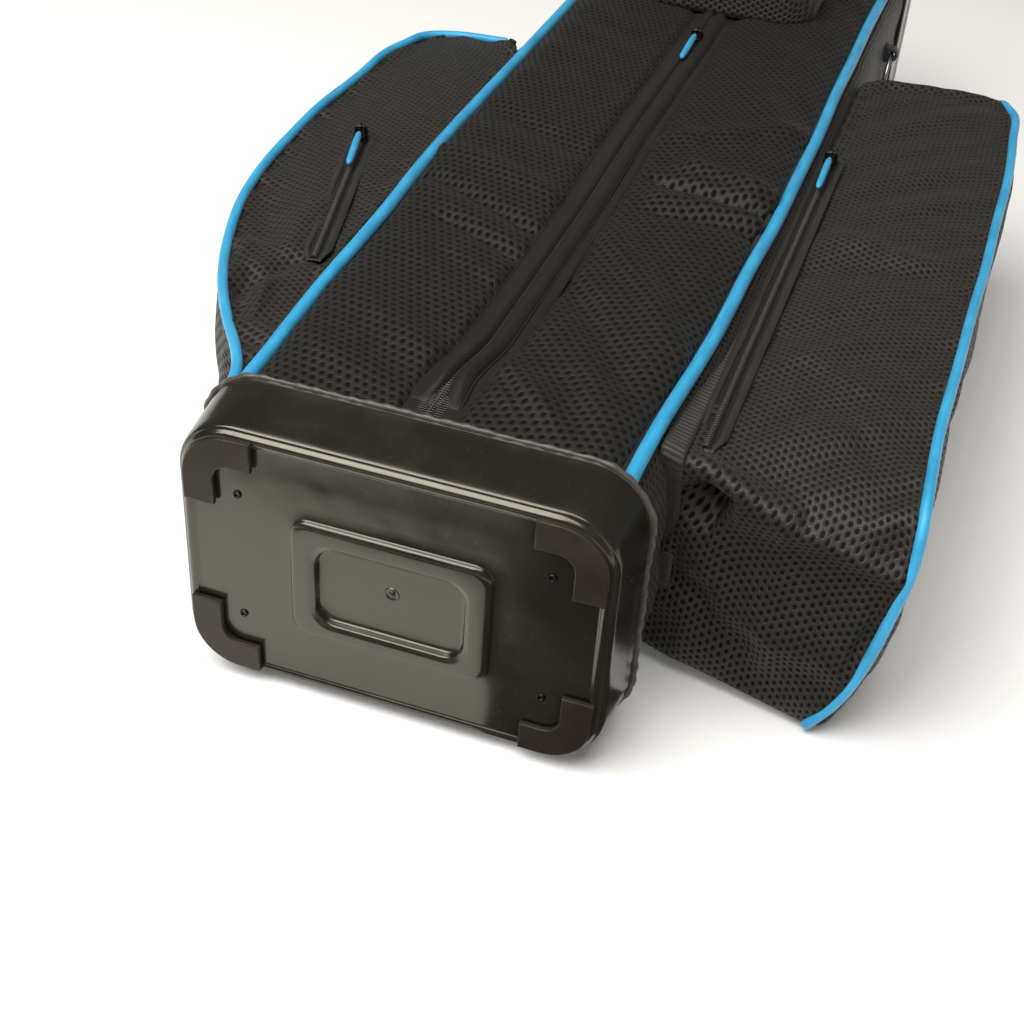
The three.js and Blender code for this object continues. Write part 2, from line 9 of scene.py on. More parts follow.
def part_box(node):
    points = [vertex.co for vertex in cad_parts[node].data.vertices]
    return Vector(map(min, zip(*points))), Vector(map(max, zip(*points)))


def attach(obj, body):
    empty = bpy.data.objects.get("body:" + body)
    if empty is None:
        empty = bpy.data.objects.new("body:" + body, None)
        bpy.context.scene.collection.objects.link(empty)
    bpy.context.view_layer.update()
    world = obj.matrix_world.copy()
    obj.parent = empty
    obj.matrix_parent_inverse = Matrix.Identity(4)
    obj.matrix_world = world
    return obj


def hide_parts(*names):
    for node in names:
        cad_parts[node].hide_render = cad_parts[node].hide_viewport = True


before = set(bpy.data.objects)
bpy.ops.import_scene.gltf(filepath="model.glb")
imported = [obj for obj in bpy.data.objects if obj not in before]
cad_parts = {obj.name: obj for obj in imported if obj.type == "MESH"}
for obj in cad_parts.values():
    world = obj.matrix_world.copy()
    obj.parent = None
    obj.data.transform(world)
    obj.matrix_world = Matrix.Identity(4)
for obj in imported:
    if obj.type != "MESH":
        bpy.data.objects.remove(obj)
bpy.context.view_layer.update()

# A golf cart bag lying on its back. Pieces are drawn in millimetres in the bag's own frame:
# x = 0 on the centre line, y = 0 on the tray's bottom face, z = 0 at the back of the base.
MM = 0.001
BASE_HALF = 110.0
BASE_DEPTH = 150.0
BASE_RADIUS = 29.0
MID = BASE_DEPTH / 2
RIDGE_PROUD = 3.0  # the frame round the recess stands this far out of the bottom face
BODY_RADIUS = 32.0
CORNER_X = BASE_HALF - BODY_RADIUS
CORNER_Z = MID - BODY_RADIUS
BODY_START = 26.0
BODY_END = 834.0
BODY_SPREAD = 1.1  # the body is this much wider at its top than the base is
BODY_HALF = BASE_HALF * BODY_SPREAD
TUCK = 0.985  # it is drawn in by the rim's binding, and fills out again beyond it
NARROW, BULGED, WIDE = 40.0, 60.0, 240.0
SIDES = (("left", -1), ("right", 1))
FRONT_Z = 146.6
TAPE_END = 814.6
QUARTER = BODY_RADIUS * math.pi / 2
PIPING_S = CORNER_X + BODY_RADIUS * math.radians(42)

tray_low, tray_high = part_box("base_tray")
ORIGIN = np.array([
    (tray_low.x + tray_high.x) / 2,
    tray_low.y + RIDGE_PROUD * MM,
    (tray_low.z + tray_high.z) / 2 - MID * MM,
])


def in_row(points):
    """Millimetres in the bag's frame as metres in the row frame."""
    return ORIGIN + np.asarray(points, float) * MM


def from_row(point):
    return (np.array(point) - ORIGIN) / MM


# ---- Camera and light ----------------------------------------------------------------------
def add_camera():
    """Looks down at the base from its right, as the eye of someone standing over it."""
    azimuth, elevation, roll = (math.radians(a) for a in (16.5, 37.6, 4.2))
    aim, distance = in_row((41.2, 55.7, 100)), 0.7844
    back = Vector((
        math.sin(azimuth) * math.cos(elevation),
        -math.cos(azimuth) * math.cos(elevation),
        math.sin(elevation),
    ))
    level = Vector((math.cos(azimuth), math.sin(azimuth), 0))
    right = level * math.cos(roll) + back.cross(level) * math.sin(roll)
    turn = Matrix((right, back.cross(right), back)).transposed().to_4x4()
    data = bpy.data.cameras.new("camera")
    data.lens, data.sensor_width = 56.26, 36
    data.clip_start = 0.02
    camera = bpy.data.objects.new("camera", data)
    camera.matrix_world = Matrix.Translation(Vector(aim) + back * distance) @ turn
    bpy.context.scene.collection.objects.link(camera)
    bpy.context.scene.camera = camera


def add_area(name, place, aim, size, power):
    """A warm rectangular lamp, its power in watts."""
    data = bpy.data.lights.new(name, "AREA")
    data.shape, data.size, data.size_y = "RECTANGLE", *size
    data.energy, data.color = power, (1.0, 0.98, 0.94)
    light = bpy.data.objects.new(name, data)
    light.location = place
    light.rotation_euler = (Vector(aim) - Vector(place)).to_track_quat("-Z", "Y").to_euler()
    bpy.context.scene.collection.objects.link(light)
    return light


def add_lights():
    """A soft panel overhead, a key, a fill, and a dim room that the viewer sees as white."""
    middle = (0, 0, 0.08)
    add_area("overhead", (-0.2, -0.55, 2.3), middle, (2.4, 1.5), 52)
    add_area("key", (-0.75, -1.25, 1.55), middle, (1.5, 1.0), 30)
    fill = add_area("fill", (1.0, -1.7, 0.6), (0.1, -0.35, 0.06), (1.2, 0.8), 9)
    fill.visible_glossy = False
    world = bpy.data.worlds.new("studio")
    world.use_nodes = True
    tree = world.node_tree
    room = tree.nodes["Background"]
    room.inputs["Color"].default_value = (1, 0.95, 0.88, 1)
    room.inputs["Strength"].default_value = 0.12
    sweep = tree.nodes.new("ShaderNodeBackground")
    sweep.inputs["Strength"].default_value = 1.0
    sweep.inputs["Color"].default_value = (1, 1, 1, 1)
    path = tree.nodes.new("ShaderNodeLightPath")
    both = tree.nodes.new("ShaderNodeMixShader")
    tree.links.new(path.outputs["Is Camera Ray"], both.inputs[0])
    tree.links.new(room.outputs[0], both.inputs[1])
    tree.links.new(sweep.outputs[0], both.inputs[2])
    tree.links.new(both.outputs[0], tree.nodes["World Output"].inputs["Surface"])
    bpy.context.scene.world = world
    bpy.context.scene.view_settings.view_transform = "Standard"


# ---- Materials -----------------------------------------------------------------------------
class Look:
    """A Principled material and the nodes that feed it, in a few short calls."""

    def __init__(self, name, colour, roughness, shine=0.5, **constants):
        self.material = bpy.data.materials.new(name)
        self.material.use_nodes = True
        self.tree = self.material.node_tree
        self.shader = self.tree.nodes["Principled BSDF"]
        self.shader.inputs["Specular IOR Level"].default_value = shine
        self.set(base_color=(*colour, 1), roughness=roughness, **constants)

    def set(self, **values):
        for key, value in values.items():
            self.plug(self.shader.inputs[key.replace("_", " ").title()], value)

    def plug(self, socket, value):
        if isinstance(value, bpy.types.NodeSocket):
            self.tree.links.new(value, socket)
        elif value is not None:
            socket.default_value = value

    def node(self, kind, *inputs, **settings):
        made = self.tree.nodes.new("ShaderNode" + kind)
        for key, value in settings.items():
            setattr(made, key, value)
        for socket, value in zip(made.inputs, inputs):
            self.plug(socket, value)
        return made

    def math(self, operation, *inputs):
        return self.node("Math", *inputs, operation=operation).outputs[0]

    def vector(self, operation, *inputs):
        return self.node("VectorMath", *inputs, operation=operation).outputs[0]

    def split(self, vector):
        return self.node("SeparateXYZ", vector).outputs

    def object_mm(self):
        """The piece's own coordinates, in millimetres."""
        return self.vector("MULTIPLY", self.node("TexCoord").outputs["Object"], (1000, 1000, 1000))

    def cloth_mm(self):
        """Millimetres along and across the cloth, kept with the mesh."""
        return self.node("Attribute", attribute_name="cloth").outputs["Vector"]

    def noise(self, place, size, detail=2.0, rough=0.5):
        made = self.node("TexNoise")
        self.plug(made.inputs["Vector"], place)
        made.inputs["Scale"].default_value = 1 / size
        made.inputs["Detail"].default_value = detail
        made.inputs["Roughness"].default_value = rough
        return made.outputs[0]

    def ramp(self, value, low, high, out_low=0.0, out_high=1.0):
        return self.node("MapRange", value, low, high, out_low, out_high,
                         interpolation_type="SMOOTHSTEP").outputs[0]

    def mix(self, share, first, second):
        made = self.node("Mix", data_type="RGBA")
        self.plug(made.inputs[0], share)
        for socket, colour in ((made.inputs[6], first), (made.inputs[7], second)):
            self.plug(socket, (*colour, 1) if isinstance(colour, tuple) else colour)
        return made.outputs[2]

    def bump(self, height, depth, under=None):
        """Adds relief of `depth` millimetres, over the relief `under`."""
        made = self.node("Bump")
        made.inputs["Strength"].default_value = 1.0
        made.inputs["Distance"].default_value = depth * MM
        self.plug(made.inputs["Height"], height)
        self.plug(made.inputs["Normal"], under)
        return made.outputs[0]


def moulded_plastic(name, dark, light, rough, grain, shine):
    """Injection moulded plastic: slow waves from shrinkage, a fine skin and faint scuffs."""
    look = Look(name, dark, rough, shine, specular_tint=(1, 0.95, 0.80, 1))
    place = look.object_mm()
    clouds = look.noise(place, 38, 3)
    scuffs = look.noise(look.vector("MULTIPLY", place, (1, 0.2, 0.35)), 1.6, 4, 0.7)
    marks = look.ramp(scuffs, 0.56, 0.78)
    tint = look.mix(look.ramp(clouds, 0.35, 0.7), dark, light)
    scuffed = tuple(2.2 * c for c in light)
    look.set(base_color=look.mix(look.math("MULTIPLY", marks, 0.35), tint, scuffed))
    patchy = look.ramp(clouds, 0.3, 0.7, rough - 0.04, rough + 0.05)
    look.set(roughness=look.math("ADD", patchy, look.math("MULTIPLY", marks, 0.08)))
    waves = look.bump(look.noise(place, 26, 1), 0.35)
    look.set(normal=look.bump(look.noise(place, 0.5, 3), grain, waves))
    return look.material


PITCH_X, PITCH_Y = 8.7, 6.1  # between every second column of holes, and between the holes of one
HOLE_X, HOLE_Y = 1.36, 1.86


def mesh_fabric(name, shade, shine, grain, size):
    """Knitted mesh over a dark backing: columns of upright ovals, each column half a step along. Its holes
    are near black: the backing's own dark colour together with painted shade inside each hole.
    """
    yarn = tuple(shade * c for c in (0.0145, 0.0126, 0.0100))
    pale = tuple(shade * c for c in (0.0330, 0.0290, 0.0235))
    # The holes' colour: the backing's dark colour, darkened further with painted shade, since the cloth has
    # no real holes.
    hole = (0.0012, 0.0010, 0.0008)
    look = Look(name, yarn, 0.5, shine, sheen_weight=0.2 * shine, sheen_roughness=0.4)
    cloth = look.cloth_mm()
    wander = look.node("TexNoise", cloth, None, 0.05).outputs["Color"]
    drift = look.vector("MULTIPLY", look.vector("SUBTRACT", wander, (0.5, 0.5, 0.5)), (2.4, 2.4, 0))
    turned = look.node("VectorRotate", look.vector("ADD", cloth, drift), rotation_type="Z_AXIS")
    turned.inputs["Angle"].default_value = math.radians(-grain)
    cloth = turned.outputs[0]
    span = hole_span(look, look.vector("DIVIDE", cloth, (PITCH_X * size, PITCH_Y * size, 1)))
    opening = look.ramp(span, 0.74, 1.14, 1, 0)
    ribs = look.split(look.vector("SINE", look.vector("MULTIPLY", cloth, (7.5, 6.3, 1))))
    knit = look.math("MULTIPLY_ADD", ribs[0], 0.5, look.math("MULTIPLY", ribs[1], 0.5))
    tint = look.mix(look.noise(cloth, 14, 3), yarn, pale)
    tint = look.mix(look.ramp(knit, -0.9, 0.9, 0, 0.35), tint, pale)
    look.set(base_color=look.mix(opening, tint, hole), roughness=look.ramp(opening, 0, 1, 0.46, 0.9))
    threads = look.bump(knit, 0.06)
    look.set(normal=look.bump(look.ramp(span, 0.75, 1.5), 0.34, threads))
    return look.material


def hole_span(look, grid):
    """How far a point is from the nearest hole's middle, as a share of the hole's half size."""
    oval = (PITCH_X / HOLE_X, PITCH_Y / HOLE_Y, 0)
    spans = []
    for shift in ((0, 0, 0), (0.5, 0.5, 0)):
        cell = look.vector("FRACTION", look.vector("ADD", grid, shift))
        offset = look.vector("MULTIPLY", look.vector("SUBTRACT", cell, (0.5, 0.5, 0)), oval)
        spans.append(look.node("VectorMath", offset, operation="LENGTH").outputs["Value"])
    return look.math("MINIMUM", *spans)


def woven(name, dark, light, step, rough, relief, sheen=0.2, shine=0.5):
    """A plain weave with `step` millimetres between its threads."""
    look = Look(name, dark, rough, shine, sheen_weight=sheen, sheen_roughness=0.5)
    cloth = look.cloth_mm()
    turns = 2 * math.pi / step
    ribs = look.split(look.vector("SINE", look.vector("MULTIPLY", cloth, (turns, turns, 1))))
    over = look.math("MULTIPLY", ribs[0], ribs[1])
    tint = look.mix(look.noise(cloth, 9, 4, 0.6), dark, light)
    look.set(base_color=look.mix(look.ramp(over, -0.8, 0.9, 0, 0.4), tint, light))
    look.set(roughness=look.ramp(look.noise(cloth, 20, 2), 0.3, 0.7, rough - 0.06, rough + 0.06))
    creases = look.bump(look.noise(cloth, 12, 3, 0.6), 0.25)
    look.set(normal=look.bump(over, relief, creases))
    return look.material


WEBBING_RIB = 1.6


def webbing():
    """Ribbed narrow webbing, its ribs running the length with a herringbone across."""
    dark, light = (0.012, 0.0115, 0.011), (0.045, 0.043, 0.040)
    look = Look("webbing", dark, 0.7, sheen_weight=0.2)
    across, along_, _ = look.split(look.cloth_mm())
    zigzag = look.math("MULTIPLY", look.math("PINGPONG", across, WEBBING_RIB), 1.4)
    twill = look.math("SINE", look.math("MULTIPLY", look.math("ADD", zigzag, along_), 4.2))
    ribs = look.math("SINE", look.math("MULTIPLY", across, 2 * math.pi / WEBBING_RIB))
    height = look.math("MULTIPLY_ADD", twill, 0.5, look.math("MULTIPLY", ribs, 0.5))
    look.set(base_color=look.mix(look.ramp(height, -0.8, 0.9, 0, 0.6), dark, light))
    look.set(normal=look.bump(height, 0.22))
    return look.material


def piping_cord():
    """Blue coated piping: a smooth skin with faint stretch marks and a little grime."""
    deep, bright = (0.012, 0.250, 0.480), (0.026, 0.350, 0.620)
    look = Look("piping_cord", bright, 0.42, sheen_weight=0.1, coat_weight=0.15, coat_roughness=0.35)
    cloth = look.cloth_mm()
    stretched = look.noise(look.vector("MULTIPLY", cloth, (1, 0.15, 1)), 2.2, 3)
    look.set(base_color=look.mix(look.ramp(look.noise(cloth, 30, 3), 0.3, 0.7), deep, bright))
    look.set(roughness=look.ramp(stretched, 0.3, 0.7, 0.38, 0.5))
    rings = look.math("SINE", look.math("MULTIPLY", look.split(cloth)[1], 7.0))
    look.set(normal=look.bump(rings, 0.035, look.bump(stretched, 0.12)))
    return look.material


def steel(name, colour, rough, scratch):
    """Drawn or lacquered metal with fine scratches along it."""
    look = Look(name, colour, rough, metallic=1.0)
    place = look.object_mm()
    lines = look.noise(look.vector("MULTIPLY", place, (1, 0.06, 1)), 0.25, 3)
    spots = look.noise(place, 6, 4, 0.6)
    worn = tuple(min(1, 1.6 * c + 0.02) for c in colour)
    look.set(base_color=look.mix(look.ramp(spots, 0.55, 0.75, 0, 0.5), colour, worn))
    look.set(roughness=look.ramp(lines, 0.3, 0.7, rough - 0.06, rough + 0.1))
    look.set(normal=look.bump(lines, scratch))
    return look.material


def floor_look():
    """Pale and faintly grained, and lit from within far out, where the lamps don't reach."""
    look = Look("floor", (0.93, 0.93, 0.93), 0.75)
    place = look.object_mm()
    far = look.node("VectorMath", place, operation="LENGTH").outputs["Value"]
    look.set(base_color=look.mix(look.noise(place, 3, 3), (0.92, 0.92, 0.92), (0.95, 0.95, 0.95)))
    look.set(emission_color=(1, 1, 1, 1), emission_strength=look.ramp(far, 1100, 2400, 0, 0.92))
    return look.material


GLOSS = moulded_plastic("gloss_plastic", (0.0090, 0.0080, 0.0062), (0.0150, 0.0130, 0.0100), 0.20, 0.008, 0.9)
SATIN = moulded_plastic("satin_plastic", (0.0130, 0.0108, 0.0085), (0.0230, 0.0190, 0.0150), 0.38, 0.03, 0.5)
PLACKET = woven("placket_cloth", (0.0050, 0.0044, 0.0036), (0.0155, 0.0137, 0.0110), 0.9, 0.34, 0.04,
                0.04, 0.32)
NYLON = woven("coil_nylon", (0.034, 0.031, 0.026), (0.080, 0.073, 0.061), 0.8, 0.4, 0.03, 0.0)
COIL = woven("dark_coil", (0.0095, 0.0085, 0.0070), (0.024, 0.0215, 0.0180), 0.8, 0.4, 0.03, 0.0)
RIBBED = woven("ribbed_tape", (0.0085, 0.0074, 0.0060), (0.030, 0.0265, 0.0215), 1.2, 0.45, 0.05, 0.05)
# A near-black tube for the gap beside each rain flap: painted shadow, standing in for the shade in that gap.
PAINTED_GAP_SHADOW = woven("painted_gap_shadow", (0.0015, 0.0013, 0.0011), (0.003, 0.0027, 0.0022), 0.9, 0.7, 0.02, 0.0)
RUBBER = moulded_plastic("foot_rubber", (0.0165, 0.0125, 0.0098), (0.0290, 0.0225, 0.0180), 0.42, 0.06, 0.35)
MESH = mesh_fabric("mesh_fabric", 0.95, 0.3, 0, 0.8)
# The front panels take a darker copy of the same mesh (yarn scaled 0.64 against 0.95): painted shade, not a
# different cloth.
MESH_FRONT_SHADED = {"left": mesh_fabric("mesh_fabric_left_painted_shade", 0.64, 0.19, 22, 1),
              "right": mesh_fabric("mesh_fabric_right_painted_shade", 0.64, 0.19, -18, 1)}
PLAIN = woven("plain_fabric", (0.0050, 0.0045, 0.0038), (0.0170, 0.0150, 0.0120), 0.9, 0.5, 0.04, 0.08)
FOAM = woven("foam_cloth", (0.016, 0.016, 0.016), (0.050, 0.049, 0.047), 1.6, 0.85, 0.12)
BINDING = woven("binding_tape", (0.022, 0.0190, 0.015), (0.085, 0.075, 0.060), 1.1, 0.26, 0.04, 0.1)
THREAD = woven("thread", (0.030, 0.027, 0.022), (0.085, 0.078, 0.064), 0.6, 0.6, 0.05)
WEBBING = webbing()
BLUE = piping_cord()
STEEL = steel("steel", (0.42, 0.42, 0.43), 0.28, 0.01)
GUNMETAL = steel("gunmetal", (0.035, 0.035, 0.037), 0.32, 0.01)


# ---- Mesh tools ----------------------------------------------------------------------------
def smooth(t):
    s = np.clip(t, 0, 1)
    return s * s * (3 - 2 * s)


def lengths(points, axis=0):
    """Distance travelled along one axis of a grid of points."""
    points = np.moveaxis(points, axis, 0)
    steps = np.linalg.norm(np.diff(points, axis=0), axis=-1)
    total = np.concatenate([np.zeros_like(steps[:1]), np.cumsum(steps, axis=0)])
    return np.moveaxis(total, 0, axis)


def along(points, count):
    """Evenly spaced points on a smooth curve through `points`."""
    points = np.asarray(points, float)
    steps = np.linalg.norm(np.diff(points, axis=0), axis=1) ** 0.5
    knots = np.concatenate([[0], np.cumsum(steps)])
    return evenly(along_knots(points, knots, 40 * len(points)), count)


def along_knots(points, knots, count):
    """A smooth curve through points at their knots, sampled evenly between the end knots."""
    slope = np.gradient(points, knots, axis=0)
    t = np.linspace(0, knots[-1], count)
    i = np.clip(np.searchsorted(knots, t, "right") - 1, 0, len(points) - 2)
    h = (knots[i + 1] - knots[i])[:, None]
    u = ((t - knots[i]) / h[:, 0])[:, None]
    return (points[i] * (1 + 2 * u) * (1 - u) ** 2 + slope[i] * h * u * (1 - u) ** 2
            + points[i + 1] * u * u * (3 - 2 * u) + slope[i + 1] * h * u * u * (u - 1))


def read_at(path, t):
    """The points of a path at the distances t along it."""
    far = lengths(path)
    return np.stack([np.interp(t, far, column) for column in path.T], -1)


def evenly(path, count, closed=False):
    """The same path in even steps; a closed one returns to its start, which isn't repeated."""
    path = np.vstack([path, path[:1]]) if closed else path
    return read_at(path, np.linspace(0, lengths(path)[-1], count, endpoint=not closed))


def eased(path, width):
    """A path with its corners rounded off by a moving average, its ends kept where they are."""
    half = width // 2
    wide = np.pad(path, ((half, half), (0, 0)), "reflect", reflect_type="odd")
    return np.stack([np.convolve(column, np.ones(width) / width, "valid") for column in wide.T], -1)


def full_turn(count):
    return np.linspace(0, 2 * math.pi, count, endpoint=False)


def hoop(centre, radius, axis, count):
    """Points round a circle that faces along one axis."""
    turn = full_turn(count)
    flat = radius * np.stack([np.cos(turn), np.sin(turn)], -1)
    return np.insert(flat, axis, 0, axis=1) + centre


def grid_normals(grid):
    across = np.cross(np.gradient(grid, axis=0), np.gradient(grid, axis=1))
    return across / np.maximum(np.linalg.norm(across, axis=-1, keepdims=True), 1e-9)


def quads(rows, columns, wrap_rows=False, wrap=False):
    r = np.arange(rows if wrap_rows else rows - 1)[:, None]
    c = np.arange(columns if wrap else columns - 1)[None, :]
    near, far = r * columns, (r + 1) % rows * columns
    here, there = c, (c + 1) % columns
    return np.stack([near + here, near + there, far + there, far + here], -1).reshape(-1, 4).tolist()


def grid_part(grid, cloth=None, wrap_rows=False, wrap=False, caps=False):
    """A mesh part from rows of points: (points, faces, cloth)."""
    rows, columns = grid.shape[:2]
    faces = quads(rows, columns, wrap_rows, wrap)
    if caps:
        faces += [list(range(columns)), list(range((rows - 1) * columns, rows * columns))]
    if cloth is None:
        cloth = np.stack([lengths(grid, 1), lengths(grid, 0)], -1)
    return grid.reshape(-1, 3), faces, np.asarray(cloth).reshape(-1, 2)


def shell_part(outer, inner, cloth=None):
    """A closed wall between two grids of the same size."""
    points, faces, cloth = grid_part(outer, cloth)
    rows, columns = outer.shape[:2]
    count = len(points)
    index = np.arange(count).reshape(rows, columns)
    edge = np.concatenate([index[0], index[1:, -1], index[-1, -2::-1], index[-2:0:-1, 0]])
    ahead = np.roll(edge, -1)
    faces += [[a + count for a in reversed(f)] for f in faces]
    faces += np.stack([edge, edge + count, ahead + count, ahead], -1).tolist()
    return np.vstack([points, inner.reshape(-1, 3)]), faces, np.vstack([cloth, cloth])


def tube_part(path, radius, sides=14, closed=False, reference=(0.3, 0.2, 0.93)):
    """A round bar along a path, with rounded ends. `radius` is one number or one for each point."""
    path = np.asarray(path, float)
    radius = np.broadcast_to(np.asarray(radius, float), len(path)).copy()
    tangent = np.roll(path, -1, 0) - np.roll(path, 1, 0) if closed else np.gradient(path, axis=0)
    tangent /= np.linalg.norm(tangent, axis=1, keepdims=True)
    side = np.zeros_like(path)
    start = np.array(reference)
    for i, t in enumerate(tangent):
        start = start - t * (start @ t)
        start = start / np.linalg.norm(start)
        side[i] = start
    other = np.cross(tangent, side)
    if not closed:
        turns = np.radians([90, 60, 35, 15])
        for end, sign in ((0, -1), (-1, 1)):
            reach, width = radius[end] * np.sin(turns), radius[end] * np.cos(turns)
            width[0] = radius[end] * 0.02
            caps = path[end] + sign * tangent[end] * reach[:, None]
            pairs = [(caps, path), (width, radius), (side[[end] * 4], side), (other[[end] * 4], other)]
            path, radius, side, other = (
                np.concatenate([old, new[::-1]] if end else [new, old]) for new, old in pairs
            )
    angle = full_turn(sides)
    turned = side[:, None] * np.cos(angle)[:, None] + other[:, None] * np.sin(angle)[:, None]
    grid = path[:, None] + turned * radius[:, None, None]
    cloth = np.stack(np.broadcast_arrays(radius.max() * angle[None, :], lengths(path)[:, None]), -1)
    return grid_part(grid, cloth, wrap_rows=closed, wrap=True, caps=not closed)


def ring(half_x, half_z, mid_z, radius, y, arc=12, long=14, short=8):
    """Points round a rounded rectangle that lies across the bag at y."""
    corners = []
    for k, (sx, sz) in enumerate(((1, 1), (-1, 1), (-1, -1), (1, -1))):
        angle = math.pi / 2 * k + np.linspace(0, math.pi / 2, arc + 1)
        x = sx * (half_x - radius) + radius * np.cos(angle)
        z = mid_z + sz * (half_z - radius) + radius * np.sin(angle)
        corners.append(np.stack([x, z], -1))
    points = []
    for k, corner in enumerate(corners):
        count = long if k % 2 == 0 else short
        span = np.linspace(0, 1, count + 1)[1:-1, None]
        onward = corners[(k + 1) % 4][0]
        points += [corner, corner[-1] * (1 - span) + onward * span]
    flat = np.vstack(points)
    return np.stack([flat[:, 0], np.full(len(flat), float(y)), flat[:, 1]], -1)


def soften(stops):
    """Rounds a profile's corners. A stop is (values, radius), and its last value is the height."""
    values = np.array([v for v, _ in stops], float)
    made = [values[0]]
    for k in range(1, len(stops) - 1):
        radius = stops[k][1]
        before, here, after = values[k - 1], values[k], values[k + 1]
        if radius == 0:
            made.append(here)
            continue
        ends = []
        for other in (before, after):
            gap = np.hypot((other - here)[0], (other - here)[-1])
            ends.append(here + (other - here) * min(1, radius / max(gap, 1e-6)))
        for t in np.linspace(0, 1, 5):
            made.append((1 - t) ** 2 * ends[0] + 2 * t * (1 - t) * here + t * t * ends[1])
    made.append(values[-1])
    return made


def loft(rows, closed=False):
    """A skin over closed rows of points: capped at both ends, or joined up end to end."""
    return grid_part(np.array(rows), wrap_rows=closed, wrap=True, caps=not closed)


def lathe(profile, x, z, sides):
    """Turns a profile of (radius, y) round an axis that runs along the bag."""
    return loft([hoop((x, y, z), radius, 1, sides) for radius, y in profile])


def merged(parts):
    points, faces, cloth, start = [], [], [], 0
    for p, f, c in parts:
        points.append(p)
        cloth.append(c)
        faces += [[i + start for i in face] for face in f]
        start += len(p)
    return np.vstack(points), faces, np.vstack(cloth)


def mesh_object(name, points, faces):
    """A bare mesh object, its points in metres."""
    mesh = bpy.data.meshes.new(name)
    mesh.from_pydata(points.tolist(), [], faces)
    made = bpy.data.objects.new(name, mesh)
    bpy.context.scene.collection.objects.link(made)
    return made


def face_outward(mesh):
    turned = bmesh.new()
    turned.from_mesh(mesh)
    bmesh.ops.recalc_face_normals(turned, faces=turned.faces)
    turned.to_mesh(mesh)
    turned.free()


def make(name, parts, looks, body="bag", replaces=(), place=None):
    """One piece from mesh parts. `looks` is a material, or one for each part."""
    points, faces, cloth = merged(parts)
    piece = mesh_object(name, in_row(points) if place is None else points * MM, faces)
    mesh = piece.data
    store = mesh.attributes.new("cloth", "FLOAT_VECTOR", "POINT")
    store.data.foreach_set("vector", np.insert(cloth, 2, 0, axis=1).astype(np.float32).ravel())
    looks = list(looks) if isinstance(looks, (list, tuple)) else [looks] * len(parts)
    order = list(dict.fromkeys(looks))
    for look in order:
        mesh.materials.append(look)
    slots = np.concatenate([np.full(len(p[1]), order.index(m)) for p, m in zip(parts, looks)])
    mesh.polygons.foreach_set("material_index", slots.astype(np.int32))
    if place is not None:
        mesh.transform(place)
    face_outward(mesh)
    mesh.shade_smooth()
    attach(piece, body)
    if replaces:
        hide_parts(*replaces)
    return piece


def sharpen(piece, degrees):
    """Keeps edges sharper than this crisp in the shading."""
    piece.data.set_sharp_from_angle(angle=math.radians(degrees))


def plate_part(outlines, low, high, edge, steps):
    """A plate in the local x-y plane with rounded edges and holes: the outer outline comes first."""
    curve = bpy.data.curves.new("plate", "CURVE")
    curve.dimensions, curve.fill_mode = "2D", "BOTH"
    curve.extrude = (high - low) / 2 - edge
    curve.bevel_depth, curve.bevel_resolution = edge, steps - 1
    curve.offset = -edge
    for outline in outlines:
        spline = curve.splines.new("POLY")
        spline.points.add(len(outline) - 1)
        flat = np.zeros((len(outline), 4))
        flat[:, :2], flat[:, 3] = outline, 1
        spline.points.foreach_set("co", flat.ravel())
        spline.use_cyclic_u = True
    holder = bpy.data.objects.new("plate", curve)
    bpy.context.scene.collection.objects.link(holder)
    graph = bpy.context.evaluated_depsgraph_get()
    mesh = bpy.data.meshes.new_from_object(holder.evaluated_get(graph))
    points = np.zeros(len(mesh.vertices) * 3)
    mesh.vertices.foreach_get("co", points)
    points = points.reshape(-1, 3) + (0, 0, (low + high) / 2)
    faces = [list(p.vertices) for p in mesh.polygons]
    bpy.data.objects.remove(holder)
    bpy.data.curves.remove(curve)
    bpy.data.meshes.remove(mesh)
    return points, faces, points[:, :2].copy()


def upright(part):
    """Turns a plate drawn as (x, z), with its thickness along local z, to lie across the bag."""
    points, faces, cloth = part
    return points[:, [0, 2, 1]], faces, cloth


def arc_points(x, y, radius, start, end, count=10):
    angle = np.radians(np.linspace(start, end, count + 1))
    return np.stack([x + radius * np.cos(angle), y + radius * np.sin(angle)], -1)


def round_rect(x0, y0, x1, y1, r, count=8):
    return np.vstack([
        arc_points(x1 - r, y1 - r, r, 0, 90, count),
        arc_points(x0 + r, y1 - r, r, 90, 180, count),
        arc_points(x0 + r, y0 + r, r, 180, 270, count),
        arc_points(x1 - r, y0 + r, r, 270, 360, count),
    ])


def stitches(path, length, gap, radius):
    """A sewn line: short rounded threads laid end to end along a path of points."""
    path = np.asarray(path, float)
    thick = [radius * 0.8, radius, radius, radius * 0.8]
    starts = np.arange(0.5, lengths(path)[-1] - length, length + gap)
    return merged([tube_part(read_at(path, start + length * np.linspace(0, 1, 4)), thick, 6)
                   for start in starts])


RIPPLE_WAVES = 9


def ripple(u, v, wave, degrees, stretch, seed):
    """Soft folds about `wave` millimetres apart, lying along `degrees` and `stretch` times as long."""
    rng = np.random.default_rng(seed)
    a = math.radians(degrees)
    across = -u * math.sin(a) + v * math.cos(a)
    down = (u * math.cos(a) + v * math.sin(a)) / stretch
    total = 0 * u
    for _ in range(RIPPLE_WAVES):
        turn, size, phase = rng.uniform(-0.8, 0.8), rng.uniform(0.7, 1.6), rng.uniform(0, 2 * math.pi)
        reach = 2 * math.pi / (wave * size)
        total = total + np.sin(reach * (across * math.cos(turn) + down * math.sin(turn)) + phase)
    return total / math.sqrt(RIPPLE_WAVES)


